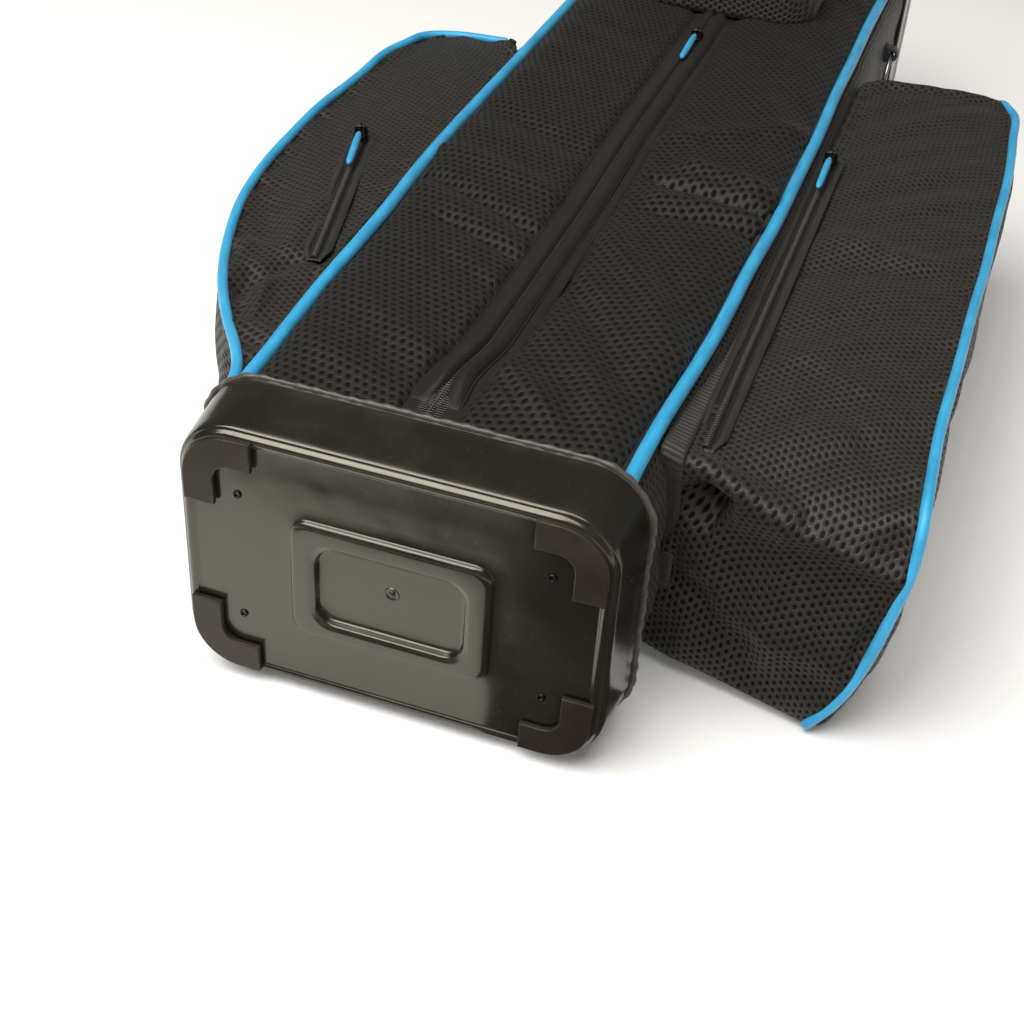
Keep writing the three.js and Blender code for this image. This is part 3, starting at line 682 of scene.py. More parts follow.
def fold(u, v, a, b, width, fade=0.35):
    """A single ridge, 1 high along the line from a to b and fading at its ends."""
    a, b = np.array(a, float), np.array(b, float)
    span = b - a
    long = np.hypot(*span)
    t = ((u - a[0]) * span[0] + (v - a[1]) * span[1]) / long**2
    off = ((u - a[0]) * span[1] - (v - a[1]) * span[0]) / long
    ends = smooth((t + fade) / fade) * smooth((1 + fade - t) / fade)
    return np.exp(-((off / width) ** 2)) * ends


# ---- Cloth that settles by simulation ------------------------------------------------------
def simulate(made, held, pressure, grow, gravity, frames, stiff):
    """Runs cloth on an object whose points are pinned by `held` (0 to 1); returns its points."""
    group = made.vertex_groups.new(name="pin")
    for level in np.unique(held[held > 0]):
        group.add(np.flatnonzero(held == level).tolist(), float(level), "REPLACE")
    cloth = made.modifiers.new("settle", "CLOTH")
    rules = cloth.settings
    rules.quality, rules.mass = 5, 0.12
    rules.tension_stiffness = rules.compression_stiffness = stiff
    rules.shear_stiffness, rules.bending_stiffness = stiff / 3, 0.35
    rules.tension_damping = rules.compression_damping = 8
    rules.vertex_group_mass = "pin"
    rules.shrink_min = -grow
    rules.use_pressure, rules.uniform_pressure_force = True, pressure
    rules.effector_weights.gravity = gravity
    cloth.collision_settings.use_collision = False
    cloth.point_cache.frame_start, cloth.point_cache.frame_end = 1, frames
    scene = bpy.context.scene
    first = scene.frame_current
    for step in range(1, frames + 1):
        scene.frame_set(step)
    settled = made.evaluated_get(bpy.context.evaluated_depsgraph_get()).to_mesh()
    points = np.empty(len(settled.vertices) * 3)
    settled.vertices.foreach_get("co", points)
    scene.frame_set(first)
    mesh = made.data
    bpy.data.objects.remove(made)
    bpy.data.meshes.remove(mesh)
    return points.reshape(-1, 3)


def limited(move, cap):
    """Shortens long moves softly, so that none is longer than `cap`."""
    size = np.linalg.norm(move, axis=-1, keepdims=True)
    return move * cap * np.tanh(size / cap) / np.maximum(size, 1e-9)


def settle(grid, held, counts, pressure, grow, cap, sign):
    """How far each point of a sheet moves, in mm, when the cloth fills out between its seams.

    The sheet is simulated on `counts` rows and columns, cut a little larger than its frame by
    `grow`, and the moves are spread smoothly over the finer grid.
    """
    rows, columns = (np.linspace(0, size - 1, count).round().astype(int)
                     for size, count in zip(grid.shape, counts))
    coarse = grid[rows][:, columns]
    faces = [face[::sign] for face in quads(*counts)]
    made = mesh_object("settling", coarse.reshape(-1, 3) * MM, faces)
    done = simulate(made, held[rows][:, columns].reshape(-1), pressure, grow, gravity=0.6,
                    frames=22, stiff=12)
    move = limited(done.reshape(coarse.shape) / MM - coarse, cap)
    tall = along_knots(move.reshape(counts[0], -1), rows.astype(float), grid.shape[0])
    wide = tall.reshape(grid.shape[0], counts[1], 3).transpose(1, 0, 2).reshape(counts[1], -1)
    fine = along_knots(wide, columns.astype(float), grid.shape[1])
    return fine.reshape(grid.shape[1], grid.shape[0], 3).transpose(1, 0, 2)


def plump(part, pressure, cap):
    """Fills a closed cushion by pressure from inside; (points in mm, faces, cloth) in and out."""
    points, faces, cloth = part
    made = mesh_object("plumping", points * MM, faces)
    face_outward(made.data)
    done = simulate(made, np.zeros(len(points)), pressure, grow=0.0, gravity=0.0, frames=18, stiff=15) / MM
    done += points.mean(0) - done.mean(0)
    return points + limited(done - points, cap), faces, cloth


# ---- Base ----------------------------------------------------------------------------------
FLARE = 4.0
RIM = BASE_HALF + FLARE


def base_tray():
    """One moulded shell, lofted from the middle of its bottom face out, up and back inside."""
    # (half width, half depth, middle z, corner radius, y) and how far the corner there is rounded.
    stops = [
        ((30, 14, 71.5, 8, 2.6), 0),
        ((36.4, 21.4, 71.5, 9, 2.6), 1.4),
        ((37.8, 22.8, 71.5, 10, 1.6), 0.7),
        ((38.6, 23.6, 71.5, 10.6, -1.6), 0.7),
        ((40.2, 25.2, 71.6, 11.5, -2.3), 0.6),
        ((41.4, 26.2, 71.7, 11.5, -2.9), 0.5),
        ((49.6, 33.0, 73, 8.6, -RIDGE_PROUD), 1.0),
        ((51.4, 34.8, 73.3, 9.5, -1.7), 0.7),
        ((52.0, 35.4, 73.4, 10, 0.3), 0.7),
        ((58, 41, 73.6, 13, 0.5), 2.0),
        ((80, 52, MID, 21, 0.55), 4.0),
        ((102.6, MID - 7.4, MID, 23, 0.9), 0.8),
        ((103.8, MID - 6.2, MID, 24, -0.3), 0.7),
        ((105.6, MID - 4.4, MID, 26, -0.9), 0.8),
        ((107.4, MID - 2.6, MID, 27.4, -0.2), 0.7),
        ((108.6, MID - 1.4, MID, 28.2, 1.6), 0.6),
        ((110.0, MID + 0.0, MID, 29.2, 2.2), 0.8),
        ((110.7, MID + 0.7, MID, 29.7, 5.0), 1.6),
        ((RIM - 0.7, MID + 3.3, MID, 31.5, 33), 3.0),
        ((RIM + 0.2, MID + 4.0, MID, 33, 36.4), 0.8),
        ((RIM + 0.2, MID + 4.0, MID, 33, 37.6), 0.4),
        ((RIM - 0.4, MID + 3.4, MID, 32, 38.0), 0.3),
        ((RIM - 2.6, MID + 1.6, MID, 30, 38.0), 0.5),
        ((107, MID - 3, MID, 26, 4.2), 2.0),
        ((60, 40, MID, 20, 4.0), 0),
    ]
    shell = loft([ring(*values) for values in soften(stops)])
    stem = [(0.05, 2.0), (1.1, 1.9), (1.6, 2.1), (1.9, 2.5), (2.7, 2.5), (3.1, 2.2), (3.6, 2.2), (4.1, 2.8)]
    mark = lathe(stem, 0, MID, 28)
    curl = [(-0.8, 2.1, MID + 0.6), (0.2, 2.1, MID + 0.2), (0.9, 2.2, MID - 0.7)]
    nib = tube_part(curl, [0.4, 0.55, 0.3], 8)
    sharpen(make("base_tray_shell", [shell, mark, nib], GLOSS,
                 replaces=["base_tray"]), 50)


FOOT = {"inset": 4.0, "leg": 16.0, "end_x": 70.0, "end_z": 31.0, "r": 25.0, "inner": 9.0, "thick": 3.2}


def foot_outline():
    """The L-shaped foot of the front right corner, as (x, z about the middle)."""
    edge_x, edge_z = BASE_HALF - FOOT["inset"], MID - FOOT["inset"]
    in_x, in_z = edge_x - FOOT["leg"], edge_z - FOOT["leg"]
    inner, r = FOOT["inner"], FOOT["r"]
    return np.vstack([
        [(FOOT["end_x"], edge_z), (FOOT["end_x"], in_z)],
        arc_points(in_x - inner, in_z - inner, inner, 90, 0, 10),
        [(in_x, FOOT["end_z"]), (edge_x, FOOT["end_z"])],
        arc_points(edge_x - r, edge_z - r, r, 0, 90, 18),
    ])


def feet_and_rivets():
    outline = foot_outline()
    for side, sx in SIDES:
        for end, sz, z in (("back", -1, 38), ("front", 1, 113)):
            flipped = outline * (sx, sz)
            points, faces, cloth = upright(plate_part([flipped], -0.3 - FOOT["thick"], -0.1, 0.7, 4))
            sharpen(make(f"foot_{end}_{side}_pad", [(points + (0, 0, MID), faces, cloth)], RUBBER,
                         replaces=[f"foot_{end}_{side}"]), 50)
            rivet(f"rivet_{end}_{side}", sx * 79.0, z, f"base_screw_{end}_{side}")


def rivet(name, x, z, node):
    """A small tubular rivet: a rolled ring with a hollow middle."""
    profile = [(0.02, 1.3), (0.9, 1.2), (1.1, 0.3), (1.3, -0.2), (1.6, -0.45), (1.95, -0.35), (2.2, 0.1),
               (2.3, 0.7), (1.9, 0.9), (1.9, 3.4), (0.02, 3.4)]
    make(name, [lathe(profile, x, z, 26)], GUNMETAL, replaces=[node])


def round_base(grow, y, arc, long, short):
    """The base's outline, grown outward by `grow`."""
    return ring(BASE_HALF + grow, MID + grow, MID, BASE_RADIUS + grow, y, arc, long, short)


def rim_binding():
    """A rolled strip sewn round the rim: a glossy bead, pinched and waved a little by its stitches."""
    far = lengths(round_base(0, 0, 60, 140, 80))
    pinch = (0.38 * np.cos(2 * math.pi * far / 9.5 + 1.2 * np.sin(far / 31))
             + 0.36 * np.sin(far / 5.3 + 2 * np.sin(far / 40)) + 0.3 * np.sin(far / 19.0 + 1))
    rows = []
    for a in full_turn(12):
        y = 39.5 - 1.35 * math.sin(a)
        bead = round_base(4.9 + 1.5 * math.cos(a), y, 60, 140, 80)
        outward = bead - (0, y, MID)
        outward /= np.linalg.norm(outward, axis=1, keepdims=True)
        down = np.array((0, -0.5 * math.sin(a), 0))
        rows.append(bead + (0.8 * outward + down) * pinch[:, None])
    grid = np.array(rows)
    cloth = np.stack([np.broadcast_to(far, grid.shape[:2]), lengths(grid, 0)], -1)
    strip = grid_part(grid, cloth, wrap_rows=True, wrap=True)
    under = ((4.4, 38.4), (4.6, 40.6), (1.6, 41.4), (-0.2, 41.0), (-0.2, 38.4))
    tuck = loft([round_base(grow, y, 30, 60, 40) for grow, y in under], closed=True)
    seam = round_base(3.0, 41.2, 20, 40, 24)
    sewn = stitches(np.vstack([seam, seam[:1]]), 3.6, 2.8, 0.42)
    make("rim_binding_strip", [strip, tuck, sewn], [BINDING, BINDING, THREAD],
         replaces=["rim_binding"])


# ---- Body ----------------------------------------------------------------------------------
def spread(y):
    """How wide the body is at y, as a share of the base."""
    return TUCK + (BODY_SPREAD - TUCK) * smooth((np.asarray(y, float) - NARROW) / (WIDE - NARROW))


def depth(y):
    """How deep the body is at y, as a share of the base."""
    return TUCK + (1 - TUCK) * smooth((np.asarray(y, float) - NARROW) / (BULGED - NARROW))


def outline(s):
    """The base's section at a distance s round it from the middle of the front: x, z, outward."""
    half, side = np.abs(s), np.sign(s)
    corner = CORNER_X + QUARTER
    flat = corner + 2 * CORNER_Z
    back = flat + QUARTER
    angle = np.select(
        [half <= CORNER_X, half <= corner, half <= flat, half <= back],
        [math.pi / 2, math.pi / 2 - (half - CORNER_X) / BODY_RADIUS, 0, -(half - flat) / BODY_RADIUS],
        -math.pi / 2,
    )
    past = np.maximum(0, CORNER_X - (half - back))
    middle_x = np.select([half <= CORNER_X, half <= back], [half, CORNER_X], past)
    middle_z = np.select([half <= corner, half <= flat], [CORNER_Z, CORNER_Z - (half - corner)], -CORNER_Z)
    nx, nz = np.cos(angle), np.sin(angle)
    return side * (middle_x + BODY_RADIUS * nx), MID + middle_z + BODY_RADIUS * nz, side * nx, nz


def on_body(s, y, lift=0.0):
    """Points on the body's skin, raised by `lift`."""
    x, z, nx, nz = outline(s)
    return np.stack([x * spread(y) + nx * lift, y + 0 * s, MID + (z - MID) * depth(y) + nz * lift], -1)


PANEL_WALL = 3.0
PANEL_GAP = 0.4


def skin(start, end, rows, columns, lift):
    """A body panel between two seams, given as distances round the section at each y."""
    y = np.linspace(BODY_START, BODY_END, rows)
    t = np.linspace(0, 1, columns)
    first, last = (edge(y) if callable(edge) else np.full(rows, edge) for edge in (start, end))
    s = first[:, None] + (last - first)[:, None] * t
    yy = np.broadcast_to(y[:, None], s.shape)
    raised = lift(s, yy, np.broadcast_to(t, s.shape))
    inner = on_body(s, yy, np.minimum(raised, 0) - PANEL_WALL)
    return shell_part(on_body(s, yy, raised), inner, np.stack([s * spread(yy), yy], -1))


def zip_line(y):
    """Where the front zip's teeth run: it wanders a little near the base."""
    return -3.0 + 5.6 * smooth((y - 82) / 48) - 2.6 * smooth((y - 260) / 160)


def seam_dip(t, width, low):
    """A panel dives at both seams: 0 in the middle and -low at the edges."""
    return -low * (1 - smooth(t / width)) - low * (1 - smooth((1 - t) / width))


RIGHT_FOLDS = [  # the ends of each crease as (s, y), then its width and height
    ((18, 104), (78, 44), 7, 1.5), ((24, 78), (52, 44), 4, 1.0), ((30, 248), (92, 150), 9, 1.8),
    ((22, 196), (66, 122), 7, -1.4), ((46, 362), (94, 352), 8, 2.6), ((38, 338), (96, 331), 5, -4.6),
    ((44, 296), (96, 302), 7, -2.6), ((40, 315), (90, 316), 6, 1.6), ((24, 400), (92, 450), 10, 1.6),
]
LEFT_FOLDS = [
    ((-80, 287), (-20, 250), 6, -3.0), ((-84, 268), (-24, 232), 7, 0.9), ((-56, 234), (-18, 214), 6, -2.6),
    ((-94, 330), (-22, 296), 9, 1.8), ((-96, 150), (-30, 108), 11, 1.2), ((-90, 100), (-50, 60), 7, 0.9),
    ((-90, 400), (-26, 360), 9, -1.8), ((-50, 206), (-16, 184), 6, 1.0),
]


def piping_line(sx, y):
    """How far round the section a corner piping runs: both bow inward low down, the left one more."""
    bow, wide = (9.0, 80) if sx < 0 else (-2.2, 90)
    return sx * PIPING_S + bow * np.exp(-(((y - 225) / wide) ** 2))


def front_panel(name, sx, reach, slant, folds):
    """Mesh between the zip and one corner piping, `reach` from the teeth to its inner seam."""
    def lift(s, y, t):
        away = smooth((y - 46) / 40)
        crown = 2.6 * np.sin(math.pi * t) ** 0.8
        creases = 1.7 * sum(high * fold(s, y, a, b, width) for a, b, width, high in folds)
        loose = ripple(s, y, 34, slant, 3.2, 11 + sx) * np.sin(math.pi * t) ** 0.5
        seams = 0.3 + smooth(1 - t / 0.2) + smooth((t - 0.8) / 0.2)
        fine = 0.22 * ripple(s, y, 9, 100, 2.5, 21 + sx) * seams
        tuck = -1.2 * (1 - smooth((y - 38) / 10))
        return (crown + creases + loose + fine) * away + seam_dip(t, 0.05, 2.6) + tuck

    part = skin(lambda y: zip_line(y) + sx * reach, lambda y: piping_line(sx, y) - sx * 3.0, 380, 64, lift)
    # The front panels wear the darker copy of the mesh: painted shade.
    make(f"front_panel_{name}_cloth", [part], MESH_FRONT_SHADED[name],
         replaces=[f"front_panel_{name}"])


SIDE_END = CORNER_X + 2 * QUARTER + 2 * CORNER_Z - BODY_RADIUS * math.radians(45)


def side_panel(name, sx):
    def lift(s, y, t):
        away = smooth((y - 46) / 40)
        slack = 1.2 * np.sin(math.pi * t) + 0.8 * ripple(s, y, 42, 80, 2.5, 31)
        return slack * away + seam_dip(t, 0.03, 1.8)

    part = skin(lambda y: piping_line(sx, y) + sx * 3.0, sx * (SIDE_END - PANEL_GAP), 300, 44, lift)
    make(f"side_panel_{name}_cloth", [part], MESH, replaces=[f"side_panel_{name}"])


def back_panel():
    """Plain cloth under the bag, drawn in by cross seams 110 mm apart."""
    whole = 2 * (2 * CORNER_X + 2 * QUARTER + 2 * CORNER_Z)
    edge = SIDE_END + PANEL_GAP
    s, y = np.meshgrid(np.linspace(edge, whole - edge, 90), np.linspace(BODY_START, BODY_END, 260))
    t = (s - edge) / (whole - 2 * edge)
    rows = np.abs(np.sin(math.pi * (y - 70) / 110)) ** 0.35 - 1.0
    lift = np.minimum(0, rows + 0.4 * ripple(s, y, 60, 10, 2, 41) - 0.6) + seam_dip(t, 0.03, 1.2)
    near = np.where(s > whole / 2, s - whole, s)
    cloth = np.stack([s * spread(y), y], -1)
    part = shell_part(on_body(near, y, lift), on_body(near, y, lift - PANEL_WALL), cloth)
    make("back_panel_cloth", [part], PLAIN, replaces=["back_panel"])


def body_piping(name, sx):
    """Blue cord sewn into a front corner, with its flange running under both panels."""
    y = np.linspace(41.6, TAPE_END, 260)
    sway = 0.5 * np.sin(y / 61 + sx) + 0.3 * np.sin(y / 23)
    line = piping_line(sx, y)
    cord = tube_part(on_body(line + sway, y, 1.1), 3.8, 18, reference=(0, 0, 1))
    across = line[:, None] + np.linspace(-5, 5, 6)[None, :]
    flange = shell_part(on_body(across, y[:, None], -1.6), on_body(across, y[:, None], -2.6))
    make(f"front_piping_{name}_cord", [cord, flange], [BLUE, PLAIN],
         replaces=[f"front_piping_{name}"])


# ---- Front zip -----------------------------------------------------------------------------
TOOTH_STEP = 2.1


def teeth(start, end, x, z, width, high):
    """A zip's coil: one raised loop for each tooth, laid across a centre line that may wander."""
    half, knee = width / 2, 0.75 * high
    loop = [(-half, 0, 0), (0.7 - half, 0, knee), (0, 0.25, high), (half - 0.7, 0, knee), (half, 0, 0)]
    return merged([tube_part(np.array(loop) + (x(y), y, z), 0.62, 6, reference=(0, 1, 0))
                   for y in np.arange(start, end, TOOTH_STEP)])


def front_zip():
    """The tape, its coil, and the bright core and stitches that show where the flaps part."""
    y = np.linspace(41.8, TAPE_END, 240)
    line = zip_line(y)
    x = line[:, None] + np.linspace(-15.6, 17.2, 14)[None, :]
    yy = np.broadcast_to(y[:, None], x.shape)
    ribs = 0.12 * np.sin(x * 3.2) + 0.3 * ripple(x, yy, 40, 90, 2, 51)
    tape = np.stack([x, yy, FRONT_Z + 0.9 + ribs * 0.6 - 0.9 * (1 - smooth((yy - 42) / 10))], -1)
    make("front_zip_tape_cloth", [shell_part(tape, tape - (0, 0, 0.9))], PLACKET,
         replaces=["front_zip_tape"])
    coil = teeth(43, TAPE_END - 1, zip_line, FRONT_Z + 0.8, 5.6, 1.3)
    spine = tube_part(np.stack([line[:12], y[:12], np.full(12, FRONT_Z + 2.4)], -1), 0.5, 8)
    sewn = []
    for v in np.arange(42.6, 70, 1.9):
        for sx in (-1, 1):
            thread = [(1.7, -0.3, 1.7), (4.2, 0, 1.5), (6.6, 0.5, 1.0)]
            line = [(zip_line(v) + sx * px, v + py, FRONT_Z + pz) for px, py, pz in thread]
            sewn.append(tube_part(line, 0.3, 6))
    make("front_zip_teeth", [coil, spine, merged(sewn)], [COIL, NYLON, NYLON],
         replaces=["front_zip_coil"])


FLAP_START = 58.0


def rain_flap(name, sx, width, skew, high, node):
    """A rolled strip over half the teeth, flaring and flattening out where it ends near the rim."""
    y = np.linspace(FLAP_START, TAPE_END, 320)[:, None]
    t = np.linspace(0, 1, 40)[None, :]
    heights = 0.7 * smooth(t / 0.05) + 0.8 * t + high * np.sin(math.pi * t**skew) ** 0.9
    rise = smooth((y - FLAP_START) / 30)
    splay = 2.4 * (1 - smooth((y - FLAP_START - 2) / 44))
    parted = 5.0 * (1 - smooth((y - FLAP_START) / 28))
    x = zip_line(y) + sx * (0.2 + (width + splay) * (1 - t) + parted * t)
    yy = np.broadcast_to(y, x.shape)
    wave = (0.3 * ripple(x * 2, yy, 26, 90, 2, 61 + sx) + 0.12 * ripple(x * 2, yy, 9, 90, 3, 65 + sx)) * rise
    tucked = 1.4 * (1 - smooth((yy - FLAP_START) / 6))
    z = FRONT_Z + 1.04 + heights * rise + wave * np.sin(math.pi * t) - tucked
    outer = np.stack([x, yy, z], -1)
    part = shell_part(outer, outer * (1, 1, 0) + (0, 0, FRONT_Z - 0.6))
    low = FRONT_Z + 0.9 - 2 * (1 - smooth((y[:, 0] - FLAP_START) / 10))
    # The near-black tube low along the flap's outer edge is painted shadow: it stands in for the shaded gap
    # between flap and panel.
    seam = tube_part(np.stack([x[:, 0] + sx * 0.5, y[:, 0], low], -1), 0.8, 8)
    make(name, [part, seam], [PLACKET, PAINTED_GAP_SHADOW], replaces=[node])


PULL_EYE = 9.9
PULL_DROOP = 4.5


def zip_slider(name, body, node, place):
    """A cast slider: a waisted top plate, its rolled sides and the bridge that holds the pull."""
    half, length, low, high, eye = 4.7, 13.0, 3.7, 6.6, PULL_EYE
    waisted = np.vstack([
        arc_points(-half * 0.6 + 1, -length / 2 + 1, 1, 270, 200, 5)[::-1],
        arc_points(half * 0.6 - 1, -length / 2 + 1, 1, 270, 340, 5),
        arc_points(half - 1.6, -length / 6, 1.6, -20, 20, 5),
        arc_points(half * 0.8 - 1.4, length / 2 - 1.4, 1.4, 10, 90, 5),
        arc_points(-half * 0.8 + 1.4, length / 2 - 1.4, 1.4, 90, 170, 5),
        arc_points(-half + 1.6, -length / 6, 1.6, 160, 200, 5),
    ])
    plate = plate_part([waisted], low, high - 0.4, 0.7, 4)
    rail = np.array([(2.6, -5.6, low + 0.5), (4.0, -2, low + 0.5), (3.2, 5.6, low + 0.5)])
    rails = [tube_part(rail * (sx, 1, 1), 0.6, 8) for sx in (-1, 1)]
    side = [(3.0, 0, high - 1.2), (3.1, 0, eye - 0.9), (2.2, 0, eye - 0.02)]
    arch = along([(-x, y, z) for x, y, z in side] + side[::-1], 26)
    bridge = tube_part(arch, 1.05, 12, reference=(0, 1, 0))
    sharpen(make(name, [plate, *rails, bridge], GUNMETAL, body, [node], place), 45)


def zip_pull(name, body, node, place):
    """A moulded grip on a wire loop: tapered, ribbed near its end and hung by its eye."""
    eye = tube_part(hoop((0, 0, 0), 2.25, 0, 24), 0.62, 10, closed=True, reference=(1, 0, 0))
    link = tube_part([(0, -2.6, 0), (0, -5, 0), (0, -8.5, 0)], [0.75, 0.8, 1.1], 10)
    far = np.linspace(0, 38, 70)
    width = np.interp(far, [0, 2.5, 8, 30, 36, 38], [1.35, 2.0, 2.2, 2.2, 2.05, 1.5])
    width = width - 0.16 * (np.sin(far * 2 * math.pi / 2.4) > 0.3) * (far > 24) * (far < 35)
    grip = tube_part(np.stack([0 * far, -8.2 - far * 0.955, 0 * far], -1), width, 16, reference=(1, 0, 0))
    tilt = np.array(Matrix.Rotation(math.radians(PULL_DROOP), 3, "X"))
    parts = [(p @ tilt.T + (0, 0, PULL_EYE), f, c) for p, f, c in (eye, link, grip)]
    make(name, parts, [GUNMETAL, GUNMETAL, BLUE], body, [node], place)


def zip_place(x, y, z, degrees):
    """The zip's own frame: +Y toward its closed end, z = 0 under its tape."""
    return Matrix.Translation(Vector(in_row((x, y, z)))) @ Matrix.Rotation(math.radians(degrees), 4, "Z")


ZIPS = {
    "front_zip": (0, 575, FRONT_Z, 0),
    "right_pocket_zip": (124, 440, 134.3, 0),
    "left_pocket_zip": (-159, 334, 138.3, 13.6),
    "upper_pocket_zip": (42, 744, 182.3, -90),
}
OPENS = {"right_pocket_zip": (345, 15), "left_pocket_zip": (158, 12), "upper_pocket_zip": (92, 12)}


def runners():
    for name, spot in ZIPS.items():
        place = zip_place(*spot)
        zip_slider(f"{name}_slider_body", f"{name}_slider", f"{name}_slider", place)
        zip_pull(f"{name}_pull_grip", f"{name}_pull", f"{name}_pull", place)


POCKET_LIP = [(8.6, 0.35), (8.1, 0.9), (7.3, 1.55), (6.2, 1.9), (5.1, 1.75), (4.4, 1.2), (4.4, 0.7),
              (5.2, 0.45), (6.8, 0.4)]


def pocket_zip(name, opens, beyond):
    """A pocket's tape and teeth, under two soft lips of cloth that nearly meet over them."""
    y = np.linspace(-opens, beyond, 110)
    ends = smooth((y + opens) / 14) * smooth((beyond - y) / 6)
    narrow = 0.5 + 0.5 * ends
    x = np.linspace(-6, 6, 13)[None, :] * narrow[:, None]
    grid = np.stack(np.broadcast_arrays(x, y[:, None], 0.5 + 0.1 * np.sin(3.2 * x)), -1)
    tape = shell_part(grid, grid * (1, 1, 0) + (0, 0, 0.1))
    coil = teeth(-opens + 3, beyond - 2, lambda y: 0.0, 0.6, 3.6, 1.6)
    parts = [tape, coil]
    for sx in (-1, 1):
        wave = 0.25 * np.sin(y / 17 + sx) + 0.15 * np.sin(y / 6.1)
        rows = [np.stack([sx * (px + wave * (px < 6)) * narrow, y, pz * (0.15 + 0.85 * ends)], -1)
                for px, pz in POCKET_LIP]
        lip = np.array(rows).transpose(1, 0, 2)
        parts.append(grid_part(lip, lip[..., :2], wrap=True, caps=True))
    place = zip_place(*ZIPS[name])
    make(f"{name}_band", parts, [PLACKET, COIL, PLAIN, PLAIN], "bag", [name], place)


# ---- Pockets -------------------------------------------------------------------------------
# A side pocket is lofted over stations, each given as its inner seam, outer piping, the edge
# where its face turns under, and where its underside meets the body.
RIGHT_STATIONS = [
    ((105.5, 93, 7), (202, 71, 1), (202.5, 71.6, 0.4), (105.5, 94, 6.4)),
    ((106, 92.5, 34), (212, 71, 17), (207, 76, -2.5), (106, 100, 4)),
    ((107.5, 92, 70), (222, 71, 47), (211, 84, -2.5), (106, 108, 2)),
    ((110, 89, 104), (228, 71.5, 76), (213, 92, -2.5), (106, 118, 0)),
    ((114, 82.5, 126), (230.4, 72, 92), (215, 101, -2.5), (107.5, 130, -2)),
    ((116.6, 79.4, 135), (231.6, 72.6, 99.4), (216, 108, -2.5), (110, 139, -2.5)),
    ((117.6, 80.5, 138.4), (232.4, 73.6, 103.6), (216.3, 113, -2.5), (112, 147, -2.5)),
    ((118, 88, 138), (233, 76, 113), (216.6, 120, -2.5), (114, 157, -2.5)),
    ((118, 104, 137), (232.6, 80.5, 126), (216.8, 131, -2.5), (116, 168, -2.5)),
    ((118, 132, 135.5), (231.4, 94, 134.4), (217, 146, -2.5), (117, 182, -2.5)),
    ((118, 180, 134), (230.2, 140, 136.6), (217, 176, -2.5), (118, 205, -2.5)),
    ((119, 300, 133.6), (232.6, 290, 137.2), (217, 300, -2.5), (119, 300, -2.5)),
    ((120, 420, 133.6), (234.5, 420, 137.4), (218, 420, -2.5), (119, 420, -2.5)),
    ((121.6, 520, 133.6), (233, 530, 137.2), (215, 530, -2.5), (119, 520, -2.5)),
    ((121.6, 578, 133.4), (226, 584, 136.8), (208, 586, -2.5), (119, 575, -2.5)),
    ((121.6, 597, 131), (216.5, 604, 131), (200, 601, -2.5), (119, 592, -2.5)),
    ((121.6, 603, 112), (207, 608, 112), (195, 604, -2.5), (119, 598, -2.5)),
    ((121.6, 604, 60), (202, 608.5, 60), (192, 606, -2.5), (119, 601, -2.5)),
    ((121.6, 604, -1.5), (192, 608, 1), (191, 607.6, -1.5), (119, 603.4, -2.5)),
]
LEFT_STATIONS = [
    ((-101, 46.5, 138.5), (-104.4, 43.6, 140), (-108.6, 45.6, -1), (-106, 46.5, -1.6)),
    ((-102.6, 63, 139), (-107.5, 58.5, 141), (-110.5, 62, -2.5), (-107, 63, -2.5)),
    ((-103.2, 78, 139), (-117.5, 77, 141), (-116, 80, -2.5), (-107.5, 78, -2.5)),
    ((-104.2, 98, 139), (-131.5, 97.5, 141), (-127, 101, -2.5), (-108, 98, -2.5)),
    ((-106.2, 124, 139), (-149, 126, 141), (-141, 128, -2.5), (-109, 124, -2.5)),
    ((-109.4, 160, 139), (-167.5, 163, 141), (-157, 164, -2.5), (-112, 160, -2.5)),
    ((-112.2, 200, 139), (-182.5, 205, 141), (-169, 205, -2.5), (-116, 201, -2.5)),
    ((-113.6, 245, 139), (-193, 248, 141), (-177, 248, -2.5), (-119, 245, -2.5)),
    ((-113.6, 330, 139), (-201, 330, 141), (-184, 330, -2.5), (-119, 330, -2.5)),
    ((-113.6, 430, 139), (-199.5, 430, 141), (-182, 430, -2.5), (-119, 430, -2.5)),
    ((-113.6, 488, 139), (-194, 490, 141), (-178, 490, -2.5), (-119, 488, -2.5)),
    ((-114, 512, 138.6), (-180, 518, 141), (-169, 518, -2.5), (-119, 513, -2.5)),
    ((-116, 521, 138), (-156, 526, 141), (-152, 525, -2.5), (-119, 521, -2.5)),
    ((-120, 525, 137), (-130, 529, 141), (-129.6, 528.6, -1.5), (-119, 525.5, -2.5)),
]


PIPING_HOLD = 0.6


def pocket_band(first, last, count, lift, sign):
    """Cloth stretched between two seams, raised by its folds and then left to settle.

    Gives its points, and how far each lies along and across the cloth before the folds.
    """
    t = np.linspace(0, 1, count)
    flat = first[:, None] * (1 - t)[None, :, None] + last[:, None] * t[None, :, None]
    u, v = lengths(flat, 0), lengths(flat, 1)
    if lift is not None:
        flat = flat - sign * grid_normals(flat) * lift(np.broadcast_to(t, u.shape), flat)[..., None]
        held = np.zeros(flat.shape[:2])
        held[:, [0, -1]] = held[[0, -1]] = 1
        held[:, [1, -2]] = np.maximum(held[:, [1, -2]], PIPING_HOLD)
        coarse = (len(flat) // 4, max(count // 2, 12))
        flat = flat + settle(flat, held, coarse, pressure=0.10, grow=0.035, cap=5.0, sign=sign)
    return flat, u, v


